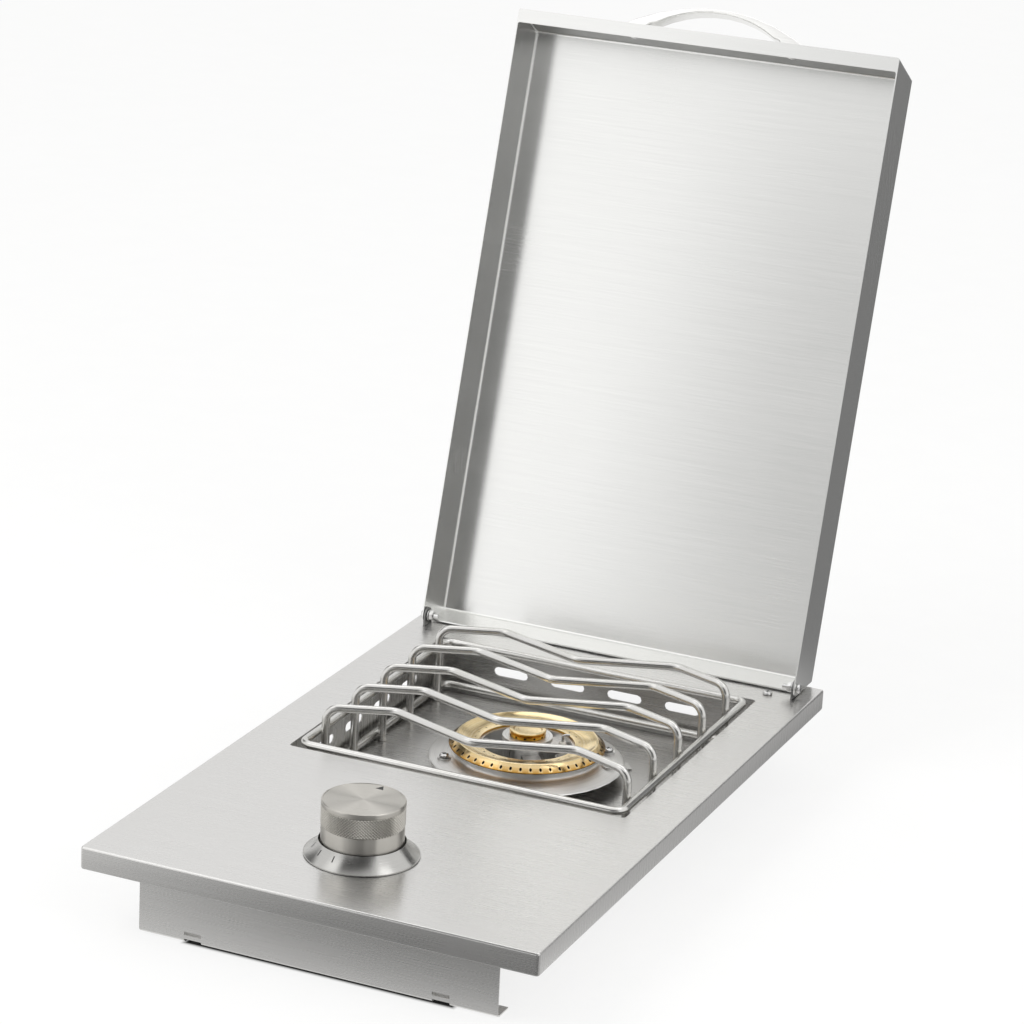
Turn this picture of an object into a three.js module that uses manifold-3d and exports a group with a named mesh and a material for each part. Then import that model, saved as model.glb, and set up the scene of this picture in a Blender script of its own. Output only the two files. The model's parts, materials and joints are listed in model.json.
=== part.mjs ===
// A drop-in gas side burner for an outdoor kitchen, in millimetres, with +Z up.
// The origin is the middle of the front lip that rests on the worktop. +Y runs to the back, +X to the right.
// The lid is modelled open, leaning back on its stop.
import * as THREE from "three";
import { mergeVertices } from "three/addons/utils/BufferGeometryUtils.js";
import Module from "manifold-3d";

const wasm = await Module();
wasm.setup();

// Sheet metal and fits
const SHEET = 1;
const BEND = 1.5; // outer radius of a fold
const SEAT = 0.3; // gap between faces that touch
const OVERRUN = 2; // how far a cutter passes the face that it opens
const SHANK = 2; // radius of the M4 screws and bolts
const SHANK_FIT = 0.4; // how much wider than the screw its hole is, on the radius
const HEAD_RADIUS = 3.7;
const HEAD_FACE = 2.8; // radius of the flat on a pan head
const HEAD_HEIGHT = 2.5;

// Top panel: one sheet with its edges folded down and in
const PANEL_WIDTH = 330;
const PANEL_DEPTH = 533;
const PANEL_EDGE = 16;
const PANEL_LIP = 10;
const PANEL_CORNER = 2.5;

// Square cut-out and the tub under it
const WELL_MARGIN = 36.5; // cut-out to the panel's sides
const WELL_CORNER = 3;
const WELL_REAR_MARGIN = 48;
const TUB_DROP = 38.5; // panel top to tub floor
const TUB_FLANGE = 10;
const SLOT_LENGTH = 28;
const SLOT_HEIGHT = 7;
const SLOT_PITCH_SHARE = 0.182; // of the cut-out's side
const SLOT_COUNT = 4;
const SLOT_DROP = 19;

// Front apron under the panel
const APRON_MARGIN = 34.5; // apron to the panel's sides
const APRON_SETBACK = 19.5;
const APRON_DROP = 61;
const APRON_FLANGE = 12;
const APRON_RETURN = 17;
const APRON_BEND = 3;
const RELIEF_LENGTH = 12.5;
const RELIEF_HEIGHT = 2.6;
const RELIEF_PITCH = 5.3;
const RELIEF_INSET = 40.2; // middle of the slots to the apron's ends
const RELIEF_RISE = 1.3; // apron bottom to the middle of the lower slot

// Lid, a tray that slants outward at both ends
const LID_MARGIN = 12; // lid to the panel's sides
const LID_LENGTH = 456; // flat of the lid, between its end bends
const LID_TRAY = 41.5;
const LID_LEAN = 16; // degrees past upright when open, and the slant of the end walls
const LID_LIP = 10.5;
const LID_GAP = 1.2; // closed lid above the panel
const LID_BACK_CUT = 15.4; // the back wall stops this short of the rim

// Lid hinges
const PIVOT_MARGIN = 28.5; // hinge bolt to the panel's back edge
const PIVOT_RADIUS = 6.4; // round corner of the lid's side about the bolt
const EAR_WIDTH = 12;
const EAR_SHEET = 1.5;
const EAR_RUN = 25; // foot of the hinge bracket, under the panel
const FOOT_SCREW_INSET = 19.45; // foot screw to the middle of the ear
const FOOT_SCREW_FORWARD = 4; // foot screw in front of the hinge bolt
const FOOT_SCREW_LENGTH = 6;
const WASHER_RADIUS = 4.5;
const WASHER_HEIGHT = 0.9;
const NUT_ACROSS = 7;
const NUT_HEIGHT = 3;
const BOLT_TAIL = 4; // bolt past its nut

// Bow handle on the lid's front wall
const HANDLE_SPAN = 160;
const HANDLE_RISE = 25.5;
const HANDLE_DEPTH = 12;
const HANDLE_FOOT = 25; // solid end of the bow on each side of the grip
const HANDLE_GRIP_RISE = 22.2;
const HANDLE_GRIP_CORNER = 7;
const HANDLE_ROUND = 1.2;
const HANDLE_SCREW_DEPTH = 5;
const HANDLE_SCREW_SHARE = 0.65; // of the foot, from its outer end to the screw

// Knob, bezel and stem
const KNOB_SETBACK = 84; // knob to the panel's front edge
const KNOB_RADIUS = 28.2;
const KNOB_FOOT_RADIUS = 27.9;
const KNOB_TOP = 38.9;
const KNOB_FOOT = 5.2; // knob's lower edge above the panel
const KNOB_CHAMFER = 1;
const KNOB_RIM = 3; // plain rim over the knurl
const KNOB_KNURL = 15;
const KNOB_GROOVE = 0.5;
const KNOB_WALL = 3.2;
const KNOB_CROWN = 5; // thickness of the knob's top
const KNOB_BOSS_RADIUS = 7.5;
const KNOB_TRAVEL = 3;
const BEZEL_RADIUS = 39;
const BEZEL_MOUTH = 29.3;
const BEZEL_HEIGHT = 10.5;
const BEZEL_WALL = 1.5;
const BEZEL_HOLLOW = 1.2; // how far the flank dips in
const STEM_RADIUS = 4;
const STEM_FLAT = 1; // depth of the flat on the stem
const STEM_GRIP = 18; // stem inside the knob
const STEM_TAIL = 9; // stem inside the valve
const COLLAR_RADIUS = 7;
const COLLAR_HEIGHT = 2;

// Gas valve, with its outlet to the back and its inlet to the left
const NECK_RADIUS = 7;
const NECK_RISE = 2.3; // neck above the panel's top
const EARS_LENGTH = 46;
const EARS_WIDTH = 19;
const EARS_HEIGHT = 4;
const EARS_HOLE_SPAN = 34;
const VALVE_BARREL = 12.5;
const VALVE_BLOCK = 26;
const VALVE_BLOCK_HEIGHT = 24;
const VALVE_ROUND = 2;
const GAS_DROP = 50.5; // gas line's axis below the panel's top
const PORT_BOSS_RADIUS = 9;
const PORT_BOSS_LENGTH = 7;
const PORT_BORE = 5.6;
const PORT_BORE_DEPTH = 12;
const SPIGOT_LENGTH = 8;
const INLET_ACROSS = 19;
const INLET_HEX = 9;
const INLET_NIPPLE = 7.9;
const INLET_LENGTH = 17;
const INLET_BORE = 4;
const ORIFICE_ACROSS = 13;
const ORIFICE_HEX = 6;
const ORIFICE_TIP = 9;
const ORIFICE_TIP_RADIUS = 2.6;
const ORIFICE_BORE = 1.1;

// Mixer tube and its air shutter
const MIXER_RADIUS = 9.5;
const MIXER_WALL = 1;
const MIXER_BEND = 12;
const MIXER_SOCKET = 5.7; // tube inside the burner's hub
const SHUTTER_LENGTH = 24;
const SHUTTER_WALL = 1;
const SHUTTER_OVERHANG = 3; // shutter past the tube's mouth
const WINDOW_LENGTH = 13;
const WINDOW_WIDTH = 11;

// Cast burner base
const BURNER_DISC = 71.5;
const BURNER_DISC_DROP = 27.7; // at its rim
const BURNER_DISC_RISE = 3.2; // from the rim to the wall
const BURNER_DISC_SHEET = 1.8;
const BURNER_BODY = 52;
const BURNER_FLOOR_DROP = 32;
const BURNER_WALL = 2.5;
const BURNER_THROAT = 33; // open middle of the burner
const HUB_RADIUS = 12.5;
const HUB_TOP_RADIUS = 18.5;
const HUB_TOP_DROP = 10;
const HUB_BOTTOM_DROP = 37;
const HUB_BORE = 8.75;
const ARM_COUNT = 3;
const ARM_WIDTH = 13;
const ARM_HEIGHT = 11;
const ARM_BORE = 2.5;
const ARM_TURN = 65; // degrees from +X to the first arm

// Brass ring and cap
const RING_RADIUS = 57;
const RING_CREST = 51.5;
const RING_HOLE = 34.7;
const RING_EDGE_DROP = 17.5;
const RING_CREST_DROP = 12;
const RING_LAND = 0.6; // height of the ring's lower edge
const RING_WALL = 1.3;
const PORT_COUNT = 48;
const PORT_RADIUS = 0.9;
const INNER_PORT_COUNT = 24;
const INNER_PORT_CIRCLE = 38.5;
const INNER_PORT_RADIUS = 0.7;
const CAP_RADIUS = 13.7;
const CAP_TOP_DROP = 5;
const CAP_DISH = 0.8; // depth of the hollow in the cap's top
const CAP_RIM = 1.2;
const CAP_WAIST = 12.2;
const CAP_WAIST_DROP = 2;
const CAP_BAND = 13.4; // radius of the band with the ports
const CAP_BAND_DROP = 2.8;
const CAP_SPIGOT = 3;
const CAP_WALL = 1.7;
const CAP_PORT_COUNT = 12;
const CAP_PORT_RADIUS = 0.7;

// What holds the burner and lights it
const DISC_SCREW_CIRCLE = 61;
const DISC_SCREW_TURN = 36; // degrees from +X
const DISC_SCREW_LENGTH = 7;
const PAD_RADIUS = 5;
const PAD_DROP = 25; // level top of the screw pads
const PLAIN_PAD_TURN = 10; // degrees from +X to the pad without a screw
const STAY_WIDTH = 12;
const STAY_SHEET = 1.2;
const STAY_TOP = 12;
const STAY_FOOT = 11;
const IGNITER_CIRCLE = 26;
const IGNITER_TURN = 32; // degrees from +X
const CERAMIC_RADIUS = 3;
const CERAMIC_TIP = 2.4;
const CERAMIC_TOP_DROP = 15.5;
const CERAMIC_LENGTH = 17;
const LUG_RADIUS = 5.2;
const LUG_HEIGHT = 5;
const ELECTRODE_RADIUS = 0.9;
const ELECTRODE_RISE = 5;
const ELECTRODE_REACH = 5;

// Wire grate
const WIRE = 3; // radius
const BAR_COUNT = 5;
const BAR_END = 26.3; // middle of the end bars to the frame's ends
const BAR_HEIGHT = 20; // bar's middle above the panel's top
const BAR_LEG_BEND = 9.5;
const BAR_KINK_SHARE = 0.602; // of the way from the middle to a leg
const BAR_KINK_BACK = 18.4;
const BAR_KINK_FRONT = 7.8;
const BAR_KINK_BEND = 14;
const FRAME_SIDE_GAP = 5.9; // frame's wire, at its middle, to the cut-out
const FRAME_END_GAP = 7.2;
const FRAME_CORNER = 8;
const LOWER_FRAME_DROP = 34;

// Facets on round stretches
const BEND_STEPS = 2;
const ARC_STEPS = 4; // in a right angle
const SLOT_STEPS = 2; // in a right angle of a slot's end
const WIRE_SIDES = 8;
const ROUND_SIDES = 36;
const BORE_SIDES = 12;
const FINE_SIDES = 5;
const WELD_SHARE = 1e-4; // share of the sheet within which corners are one point

// Sizes and places that follow from these, from the middle of the panel's top face
const RIGHT_ANGLE = Math.PI / 2;
const FULL_TURN = 2 * Math.PI;
const radians = THREE.MathUtils.degToRad;
const lean = radians(LID_LEAN);
const wellSide = PANEL_WIDTH - 2 * WELL_MARGIN;
const wellY = PANEL_DEPTH / 2 - WELL_REAR_MARGIN - wellSide / 2;
const apronWidth = PANEL_WIDTH - 2 * APRON_MARGIN;
const lidWidth = PANEL_WIDTH - 2 * LID_MARGIN;
const frameWidth = wellSide - 2 * FRAME_SIDE_GAP;
const frameDepth = wellSide - 2 * FRAME_END_GAP;
const barPitch = (frameDepth - 2 * BAR_END) / (BAR_COUNT - 1);
const knobY = KNOB_SETBACK - PANEL_DEPTH / 2;
const pivot = new THREE.Vector3(0, PANEL_DEPTH / 2 - PIVOT_MARGIN, LID_GAP + PIVOT_RADIUS);
const panelUnder = -SHEET - SEAT;
const tubFloor = -TUB_DROP;

// The closed solid of a three.js geometry
function solid(geometry) {
  const plain = geometry.clone();
  plain.deleteAttribute("normal");
  plain.deleteAttribute("uv");
  const merged = mergeVertices(plain, SHEET * WELD_SHARE);
  const vertProperties = merged.attributes.position.array;
  const triVerts = new Uint32Array(merged.index.array);
  return new wasm.Manifold(new wasm.Mesh({ numProp: 3, vertProperties, triVerts }));
}

// The three.js geometry of a solid
function geometryOf(body) {
  const { numProp, vertProperties, triVerts } = body.getMesh();
  const corners = new THREE.InterleavedBuffer(vertProperties, numProp);
  const geometry = new THREE.BufferGeometry();
  geometry.setAttribute("position", new THREE.InterleavedBufferAttribute(corners, 3, 0));
  geometry.setIndex(new THREE.BufferAttribute(triVerts, 1));
  const flat = geometry.toNonIndexed();
  flat.computeVertexNormals();
  return flat;
}

const join = (...geometries) => geometryOf(geometries.map(solid).reduce((all, next) => all.add(next)));

const cut = (geometry, ...cutters) =>
  geometryOf(cutters.map(solid).reduce((left, cutter) => left.subtract(cutter), solid(geometry)));

// Flat outlines
function roundedRectangle(width, depth, radius) {
  const x = width / 2 - radius;
  const y = depth / 2 - radius;
  const shape = new THREE.Shape();
  const corners = [[x, y], [-x, y], [-x, -y], [x, -y]];
  corners.forEach(([cx, cy], i) => {
    shape.absarc(cx, cy, radius, i * RIGHT_ANGLE, (i + 1) * RIGHT_ANGLE, false);
  });
  return shape;
}

const rectangle = (width, depth) => polygon([
  [width / 2, -depth / 2], [width / 2, depth / 2], [-width / 2, depth / 2], [-width / 2, -depth / 2],
]);

const polygon = (points) => new THREE.Shape(points.map(([x, y]) => new THREE.Vector2(x, y)));

function hexagon(across) {
  const radius = across / 2 / Math.cos(FULL_TURN / 12);
  const angles = Array.from({ length: 6 }, (_, i) => (i * FULL_TURN) / 6);
  return polygon(angles.map((angle) => [radius * Math.cos(angle), radius * Math.sin(angle)]));
}

// An outline pulled up along Z, its two ends rounded like folded sheet where a radius is given
function prism(shape, height, round = 0, facets = ARC_STEPS) {
  return new THREE.ExtrudeGeometry(shape, {
    depth: height - 2 * round,
    bevelEnabled: round > 0,
    bevelThickness: round,
    bevelSize: round,
    bevelOffset: -round,
    bevelSegments: BEND_STEPS,
    curveSegments: facets / 2, // three.js doubles this on an arc
  }).translate(0, 0, round);
}

// An outline in Y and Z pulled out along X, centred on the YZ plane
function beam(shape, length, round = 0) {
  const toX = new THREE.Matrix4().makeBasis(
    new THREE.Vector3(0, 1, 0), new THREE.Vector3(0, 0, 1), new THREE.Vector3(1, 0, 0),
  );
  return prism(shape, length, round).translate(0, 0, -length / 2).applyMatrix4(toX);
}

// A solid of revolution about Z, from radius and height pairs
function turned(profile, facets = ROUND_SIDES) {
  const points = profile.map(([radius, height]) => new THREE.Vector2(radius, height));
  if (THREE.ShapeUtils.isClockWise(points)) points.reverse();
  return new THREE.LatheGeometry(points, facets).rotateX(RIGHT_ANGLE);
}

const ring = (profile, facets) => turned([...profile, profile[0]], facets);

// A round bar from the origin along one axis
function rod(radius, length, axis = "z", facets = BORE_SIDES, tipRadius = radius) {
  const bar = new THREE.CylinderGeometry(tipRadius, radius, length, facets).translate(0, length / 2, 0);
  if (axis === "z") return bar.rotateX(RIGHT_ANGLE);
  if (axis === "x") return bar.rotateZ(-RIGHT_ANGLE);
  return bar;
}

// The stations of bent wire, tube or sheet: straight runs joined by arcs
function bent(corners, radii, closed = false) {
  const count = corners.length;
  return corners.flatMap((corner, i) => {
    if (!closed && (i === 0 || i === count - 1)) return [corner.clone()];
    const back = corners[(i + count - 1) % count].clone().sub(corner).normalize();
    const on = corners[(i + 1) % count].clone().sub(corner).normalize();
    const opening = back.angleTo(on);
    const radius = Array.isArray(radii) ? radii[i] : radii;
    const centre = corner.clone().addScaledVector(
      back.clone().add(on).normalize(), radius / Math.sin(opening / 2),
    );
    const first = corner.clone().addScaledVector(back, radius / Math.tan(opening / 2)).sub(centre);
    const last = corner.clone().addScaledVector(on, radius / Math.tan(opening / 2)).sub(centre);
    const sweep = Math.PI - opening;
    const steps = Math.ceil((ARC_STEPS * sweep) / RIGHT_ANGLE - WELD_SHARE);
    return Array.from({ length: steps + 1 }, (_, step) => {
      const share = step / steps;
      return centre.clone()
        .addScaledVector(first, Math.sin((1 - share) * sweep) / Math.sin(sweep))
        .addScaledVector(last, Math.sin(share * sweep) / Math.sin(sweep));
    });
  });
}

// The cross section of bent sheet: its middle line made as thick as the sheet
function sheetSection(line, thickness) {
  const side = (sign) => line.map((point, i) => {
    const before = line[Math.max(i - 1, 0)];
    const after = line[Math.min(i + 1, line.length - 1)];
    const inward = i > 0 ? point.clone().sub(before).normalize() : after.clone().sub(point).normalize();
    const outward = i < line.length - 1 ? after.clone().sub(point).normalize() : inward.clone();
    const along = inward.clone().add(outward).normalize();
    const spread = (sign * thickness) / 2 / along.dot(inward);
    return new THREE.Vector2(point.x - along.y * spread, point.y + along.x * spread);
  });
  return new THREE.Shape([...side(1), ...side(-1).reverse()]);
}

// A curve with one station at each of its points
class BentPath extends THREE.Curve {
  constructor(stations, closed = false) {
    super();
    this.stations = closed ? [...stations, stations[0]] : stations;
    this.closed = closed;
  }

  getPointAt(share, target = new THREE.Vector3()) {
    return target.copy(this.stations[Math.round(share * (this.stations.length - 1))]);
  }

  getTangentAt(share, target = new THREE.Vector3()) {
    const last = this.stations.length - 1;
    const here = Math.round(share * last);
    const wrap = this.closed && (here === 0 || here === last);
    const before = wrap ? this.stations[last - 1] : this.stations[Math.max(here - 1, 0)];
    const after = wrap ? this.stations[1] : this.stations[Math.min(here + 1, last)];
    const at = this.stations[here];
    const inward = at.clone().sub(before).normalize();
    const outward = after.clone().sub(at).normalize();
    return target.copy(inward.add(outward)).normalize();
  }
}

// Round wire along its stations
function wire(stations, radius = WIRE, facets = WIRE_SIDES) {
  const section = new THREE.Shape().absarc(0, 0, radius, 0, FULL_TURN, false);
  return new THREE.ExtrudeGeometry(section, {
    steps: stations.length - 1,
    curveSegments: facets / 2, // three.js doubles this on an arc
    extrudePath: new BentPath(stations),
  });
}

const hoop = (stations, radius = WIRE) =>
  new THREE.TubeGeometry(new BentPath(stations, true), stations.length, radius, WIRE_SIDES, true);

const steel = { color: 0xd2d1ce, roughness: 0.34, metalness: 1 };
const materials = {
  brushedSteel: new THREE.MeshStandardMaterial(steel),
  polishedSteel: new THREE.MeshStandardMaterial({ ...steel, color: 0xd9d9d8, roughness: 0.2 }),
  wireSteel: new THREE.MeshStandardMaterial({ ...steel, color: 0xc9c8c5, roughness: 0.28 }),
  zincScrew: new THREE.MeshStandardMaterial({ ...steel, color: 0xc4c5c6, roughness: 0.25 }),
  satinNickel: new THREE.MeshStandardMaterial({ ...steel, color: 0xb9b5ad, roughness: 0.38 }),
  castAluminium: new THREE.MeshStandardMaterial({ ...steel, color: 0xd6d8da, roughness: 0.3 }),
  brass: new THREE.MeshStandardMaterial({ ...steel, color: 0xd3a54a, roughness: 0.24 }),
  ceramic: new THREE.MeshStandardMaterial({ color: 0xb9b8b4, roughness: 0.45, metalness: 0 }),
};

const burner = new THREE.Group();
burner.position.set(0, PANEL_DEPTH / 2 - PANEL_LIP / 2, PANEL_EDGE);

function piece(name, geometry, material, parent = burner) {
  const mesh = new THREE.Mesh(geometry, material);
  mesh.name = name;
  parent.add(mesh);
  return mesh;
}

function place(x, y, z, turn = 0, parent = burner) {
  const group = new THREE.Group();
  group.position.set(x, y, z);
  group.rotation.z = turn;
  parent.add(group);
  return group;
}

const sides = [["left", -1], ["right", 1]];

// A pan head screw, head up, with the seat of its head at the origin
function panScrew(length) {
  return turned([
    [0, -length], [SHANK, -length], [SHANK, SEAT], [HEAD_RADIUS, SEAT], [HEAD_RADIUS, HEAD_HEIGHT / 2],
    [HEAD_FACE, HEAD_HEIGHT], [0, HEAD_HEIGHT + SEAT],
  ], BORE_SIDES);
}

const screwHole = (height) => rod(SHANK + SHANK_FIT, height + 2 * OVERRUN).translate(0, 0, -height - OVERRUN);

function topPanel() {
  const inner = [PANEL_WIDTH - 2 * SHEET, PANEL_DEPTH - 2 * SHEET];
  const mouth = [PANEL_WIDTH - 2 * PANEL_LIP, PANEL_DEPTH - 2 * PANEL_LIP];
  const shell = prism(roundedRectangle(PANEL_WIDTH, PANEL_DEPTH, PANEL_CORNER), PANEL_EDGE, BEND)
    .translate(0, 0, -PANEL_EDGE);
  const hollow = prism(roundedRectangle(...inner, BEND), PANEL_EDGE - 2 * SHEET)
    .translate(0, 0, SHEET - PANEL_EDGE);
  const opening = prism(rectangle(...mouth), PANEL_EDGE - 2 * SHEET).translate(0, 0, -PANEL_EDGE - OVERRUN);
  const well = prism(roundedRectangle(wellSide, wellSide, WELL_CORNER), SHEET + 2 * OVERRUN)
    .translate(0, wellY, -SHEET - OVERRUN);
  const neckHole = rod(NECK_RADIUS + SHANK_FIT, SHEET + 2 * OVERRUN, "z", ROUND_SIDES / 2)
    .translate(0, knobY, -SHEET - OVERRUN);
  const valveHoles = sides.map(([, side]) =>
    screwHole(SHEET).translate((side * EARS_HOLE_SPAN) / 2, knobY, 0));
  const hingeCuts = sides.flatMap(([, side]) => [
    screwHole(SHEET).translate(side * footScrewX, footScrewY, 0),
    new THREE.BoxGeometry(EAR_SHEET + 2 * SEAT, EAR_WIDTH + 2 * SEAT, SHEET + 2 * OVERRUN)
      .translate(side * earX, pivot.y, -SHEET / 2),
  ]);
  return cut(shell, hollow, opening, well, neckHole, ...valveHoles, ...hingeCuts);
}

function tub() {
  const outer = wellSide + 2 * SHEET;
  const slotPitch = wellSide * SLOT_PITCH_SHARE;
  const walls = prism(roundedRectangle(outer, outer, WELL_CORNER + SHEET), TUB_DROP + SHEET + panelUnder)
    .translate(0, 0, tubFloor - SHEET);
  const flangeSide = outer + 2 * TUB_FLANGE;
  const flange = prism(rectangle(flangeSide, flangeSide), SHEET).translate(0, 0, panelUnder - SHEET);
  const hollow = prism(roundedRectangle(wellSide, wellSide, WELL_CORNER), TUB_DROP + OVERRUN)
    .translate(0, 0, tubFloor);
  const slots = [0, 1, 2, 3].flatMap((wall) => Array.from({ length: SLOT_COUNT }, (_, i) => {
    const along = (i - (SLOT_COUNT - 1) / 2) * slotPitch;
    const slot = roundedRectangle(SLOT_LENGTH, SLOT_HEIGHT, SLOT_HEIGHT / 2);
    return prism(slot, SHEET + 2 * OVERRUN, 0, SLOT_STEPS)
      .rotateX(RIGHT_ANGLE)
      .translate(along, OVERRUN - wellSide / 2, -SLOT_DROP)
      .rotateZ(wall * RIGHT_ANGLE);
  }));
  const mixerHole = rod(MIXER_RADIUS + SHEET, SHEET + 2 * OVERRUN, "z", ROUND_SIDES / 2)
    .translate(0, 0, tubFloor - SHEET - OVERRUN);
  return cut(join(walls, flange), hollow, mixerHole, ...slots);
}

function apron() {
  const front = SHEET / 2;
  const top = panelUnder - SHEET / 2;
  const bottom = SHEET / 2 - APRON_DROP;
  const line = bent([
    new THREE.Vector2(APRON_FLANGE, top), new THREE.Vector2(front, top),
    new THREE.Vector2(front, bottom), new THREE.Vector2(APRON_RETURN, bottom),
  ], [0, BEND, APRON_BEND, 0]);
  const plate = beam(sheetSection(line, SHEET), apronWidth);
  const reliefs = sides.flatMap(([, side]) => [0, 1].map((row) => {
    const height = RELIEF_RISE + row * RELIEF_PITCH - APRON_DROP;
    return new THREE.BoxGeometry(RELIEF_LENGTH, 2 * APRON_BEND, RELIEF_HEIGHT)
      .translate(side * (apronWidth / 2 - RELIEF_INSET), 0, height);
  }));
  return cut(plate, ...reliefs);
}

// Places in the closed lid, from the hinge bolt
const lidTan = Math.tan(lean);
const lidRim = -PIVOT_RADIUS;
const lidTop = LID_TRAY - PIVOT_RADIUS;
const lidBackRim = (PIVOT_RADIUS * (1 + Math.sin(lean))) / Math.cos(lean);
const lidFrontRim = lidBackRim - LID_LENGTH - 2 * LID_TRAY * lidTan;
const lidWallRun = SHEET / Math.cos(lean); // sheet measured level through a slanted wall
const lidBackAt = (height, inset = 0) => lidBackRim - (height - lidRim) * lidTan - inset;
const lidFrontAt = (height, inset = 0) => lidFrontRim + (height - lidRim) * lidTan + inset;

function lidShell() {
  const below = lidRim - BEND;
  const ceiling = lidTop - SHEET;
  const block = beam(polygon([
    [lidFrontAt(below), below], [lidBackAt(below), below],
    [lidBackAt(lidTop), lidTop], [lidFrontAt(lidTop), lidTop],
  ]), lidWidth, BEND);
  const inside = lidWidth - 2 * SHEET;
  const hollow = beam(polygon([
    [lidFrontAt(lidRim + SHEET, lidWallRun), lidRim + SHEET], [lidFrontRim + LID_LIP, lidRim + SHEET],
    [lidFrontRim + LID_LIP, below - OVERRUN], [lidBackAt(below - OVERRUN, lidWallRun), below - OVERRUN],
    [lidBackAt(ceiling, lidWallRun), ceiling], [lidFrontAt(ceiling, lidWallRun), ceiling],
  ]), inside);
  const belowRim = new THREE.BoxGeometry(lidWidth + OVERRUN, 2 * LID_LENGTH, 2 * BEND)
    .translate(0, (lidFrontRim + lidBackRim) / 2, lidRim - BEND);
  const backTop = lidRim + LID_BACK_CUT * Math.cos(lean);
  const backCut = beam(polygon([
    [0, below], [lidBackRim + OVERRUN, below], [lidBackRim + OVERRUN, backTop], [0, backTop],
  ]), inside);
  return cut(block, belowRim, hollow, backCut, lidCornerCutter(), ...lidHoles());
}

// What the round corner about the hinge bolt takes off the lid's sides
function lidCornerCutter() {
  const reach = lidBackRim + OVERRUN;
  const corner = polygon([
    [0, lidRim - OVERRUN], [reach, lidRim - OVERRUN], [reach, PIVOT_RADIUS * Math.sin(lean)],
    [PIVOT_RADIUS * Math.cos(lean), PIVOT_RADIUS * Math.sin(lean)], [0, 0],
  ]);
  const round = rod(PIVOT_RADIUS, lidWidth + 2 * OVERRUN, "x", ROUND_SIDES)
    .translate(-lidWidth / 2 - OVERRUN, 0, 0);
  return cut(beam(corner, lidWidth + OVERRUN), round);
}

const lidWallMiddle = (lidRim + lidTop) / 2;
const handleScrewX = HANDLE_SPAN / 2 - HANDLE_FOOT * HANDLE_SCREW_SHARE;

function lidHoles() {
  const boltHole = rod(SHANK + SHANK_FIT, lidWidth + 2 * OVERRUN, "x")
    .translate(-lidWidth / 2 - OVERRUN, 0, 0);
  const handleHoles = sides.map(([, side]) => onFrontWall(
    rod(SHANK + SHANK_FIT, 2 * SHEET + 2 * OVERRUN).translate(side * handleScrewX, 0, -SHEET - OVERRUN),
  ));
  return [boltHole, ...handleHoles];
}

// Seats a geometry on the middle of the lid's front wall, its +Z along the wall's outward normal
const onFrontWall = (geometry) =>
  geometry.rotateX(RIGHT_ANGLE - lean).translate(0, lidFrontAt(lidWallMiddle), lidWallMiddle);

// The radius of a bow that spans and rises as given
const bowRadius = (span, rise) => (span * span / 4 + rise * rise) / (2 * rise);

function handle() {
  const outer = bowRadius(HANDLE_SPAN, HANDLE_RISE);
  const half = Math.asin(HANDLE_SPAN / 2 / outer);
  const gripSide = HANDLE_SPAN / 2 - HANDLE_FOOT;
  const inner = bowRadius(2 * gripSide + HANDLE_GRIP_CORNER, HANDLE_GRIP_RISE);
  const innerCentre = HANDLE_GRIP_RISE - inner;
  const gripHalf = Math.asin((gripSide - HANDLE_GRIP_CORNER) / inner);
  const cornerTop = innerCentre + inner * Math.cos(gripHalf);
  const shape = new THREE.Shape();
  shape.absarc(0, HANDLE_RISE - outer, outer, RIGHT_ANGLE - half, RIGHT_ANGLE + half, false);
  shape.lineTo(-gripSide, 0);
  shape.quadraticCurveTo(-gripSide, cornerTop, HANDLE_GRIP_CORNER - gripSide, cornerTop);
  shape.absarc(0, innerCentre, inner, RIGHT_ANGLE + gripHalf, RIGHT_ANGLE - gripHalf, true);
  shape.quadraticCurveTo(gripSide, cornerTop, gripSide, 0);
  const bow = prism(shape, HANDLE_DEPTH, HANDLE_ROUND, ROUND_SIDES / 4)
    .translate(0, 0, -HANDLE_DEPTH / 2)
    .rotateX(RIGHT_ANGLE);
  const holes = sides.map(([, side]) =>
    rod(SHANK + SEAT, HANDLE_SCREW_DEPTH + OVERRUN).translate(side * handleScrewX, 0, -OVERRUN));
  return onFrontWall(cut(bow, ...holes).translate(0, 0, SEAT));
}

// The hinge bracket on the right: an upright ear, and a foot under the panel
const earX = lidWidth / 2 - SHEET - SEAT - EAR_SHEET / 2;
const footScrewX = earX - FOOT_SCREW_INSET;
const footScrewY = pivot.y - FOOT_SCREW_FORWARD;

function hingeBracket() {
  const footZ = panelUnder - EAR_SHEET / 2;
  const earTop = pivot.z + EAR_WIDTH / 2;
  const line = bent([
    new THREE.Vector2(earX, earTop), new THREE.Vector2(earX, footZ), new THREE.Vector2(earX - EAR_RUN, footZ),
  ], BEND);
  const strip = prism(sheetSection(line, EAR_SHEET), EAR_WIDTH)
    .rotateX(RIGHT_ANGLE)
    .translate(0, pivot.y + EAR_WIDTH / 2, 0);
  const square = new THREE.BoxGeometry(2 * EAR_SHEET, EAR_WIDTH + OVERRUN, EAR_WIDTH)
    .translate(earX, pivot.y, pivot.z + EAR_WIDTH / 2);
  const through = 2 * EAR_SHEET;
  const round = rod(EAR_WIDTH / 2, 2 * through, "x", ROUND_SIDES / 2)
    .translate(earX - through, pivot.y, pivot.z);
  const boltHole = rod(SHANK + SHANK_FIT, 2 * through, "x").translate(earX - through, pivot.y, pivot.z);
  const footHole = screwHole(-footZ + EAR_SHEET).translate(footScrewX, footScrewY, 0);
  return cut(strip, cut(square, round), boltHole, footHole);
}

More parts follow.
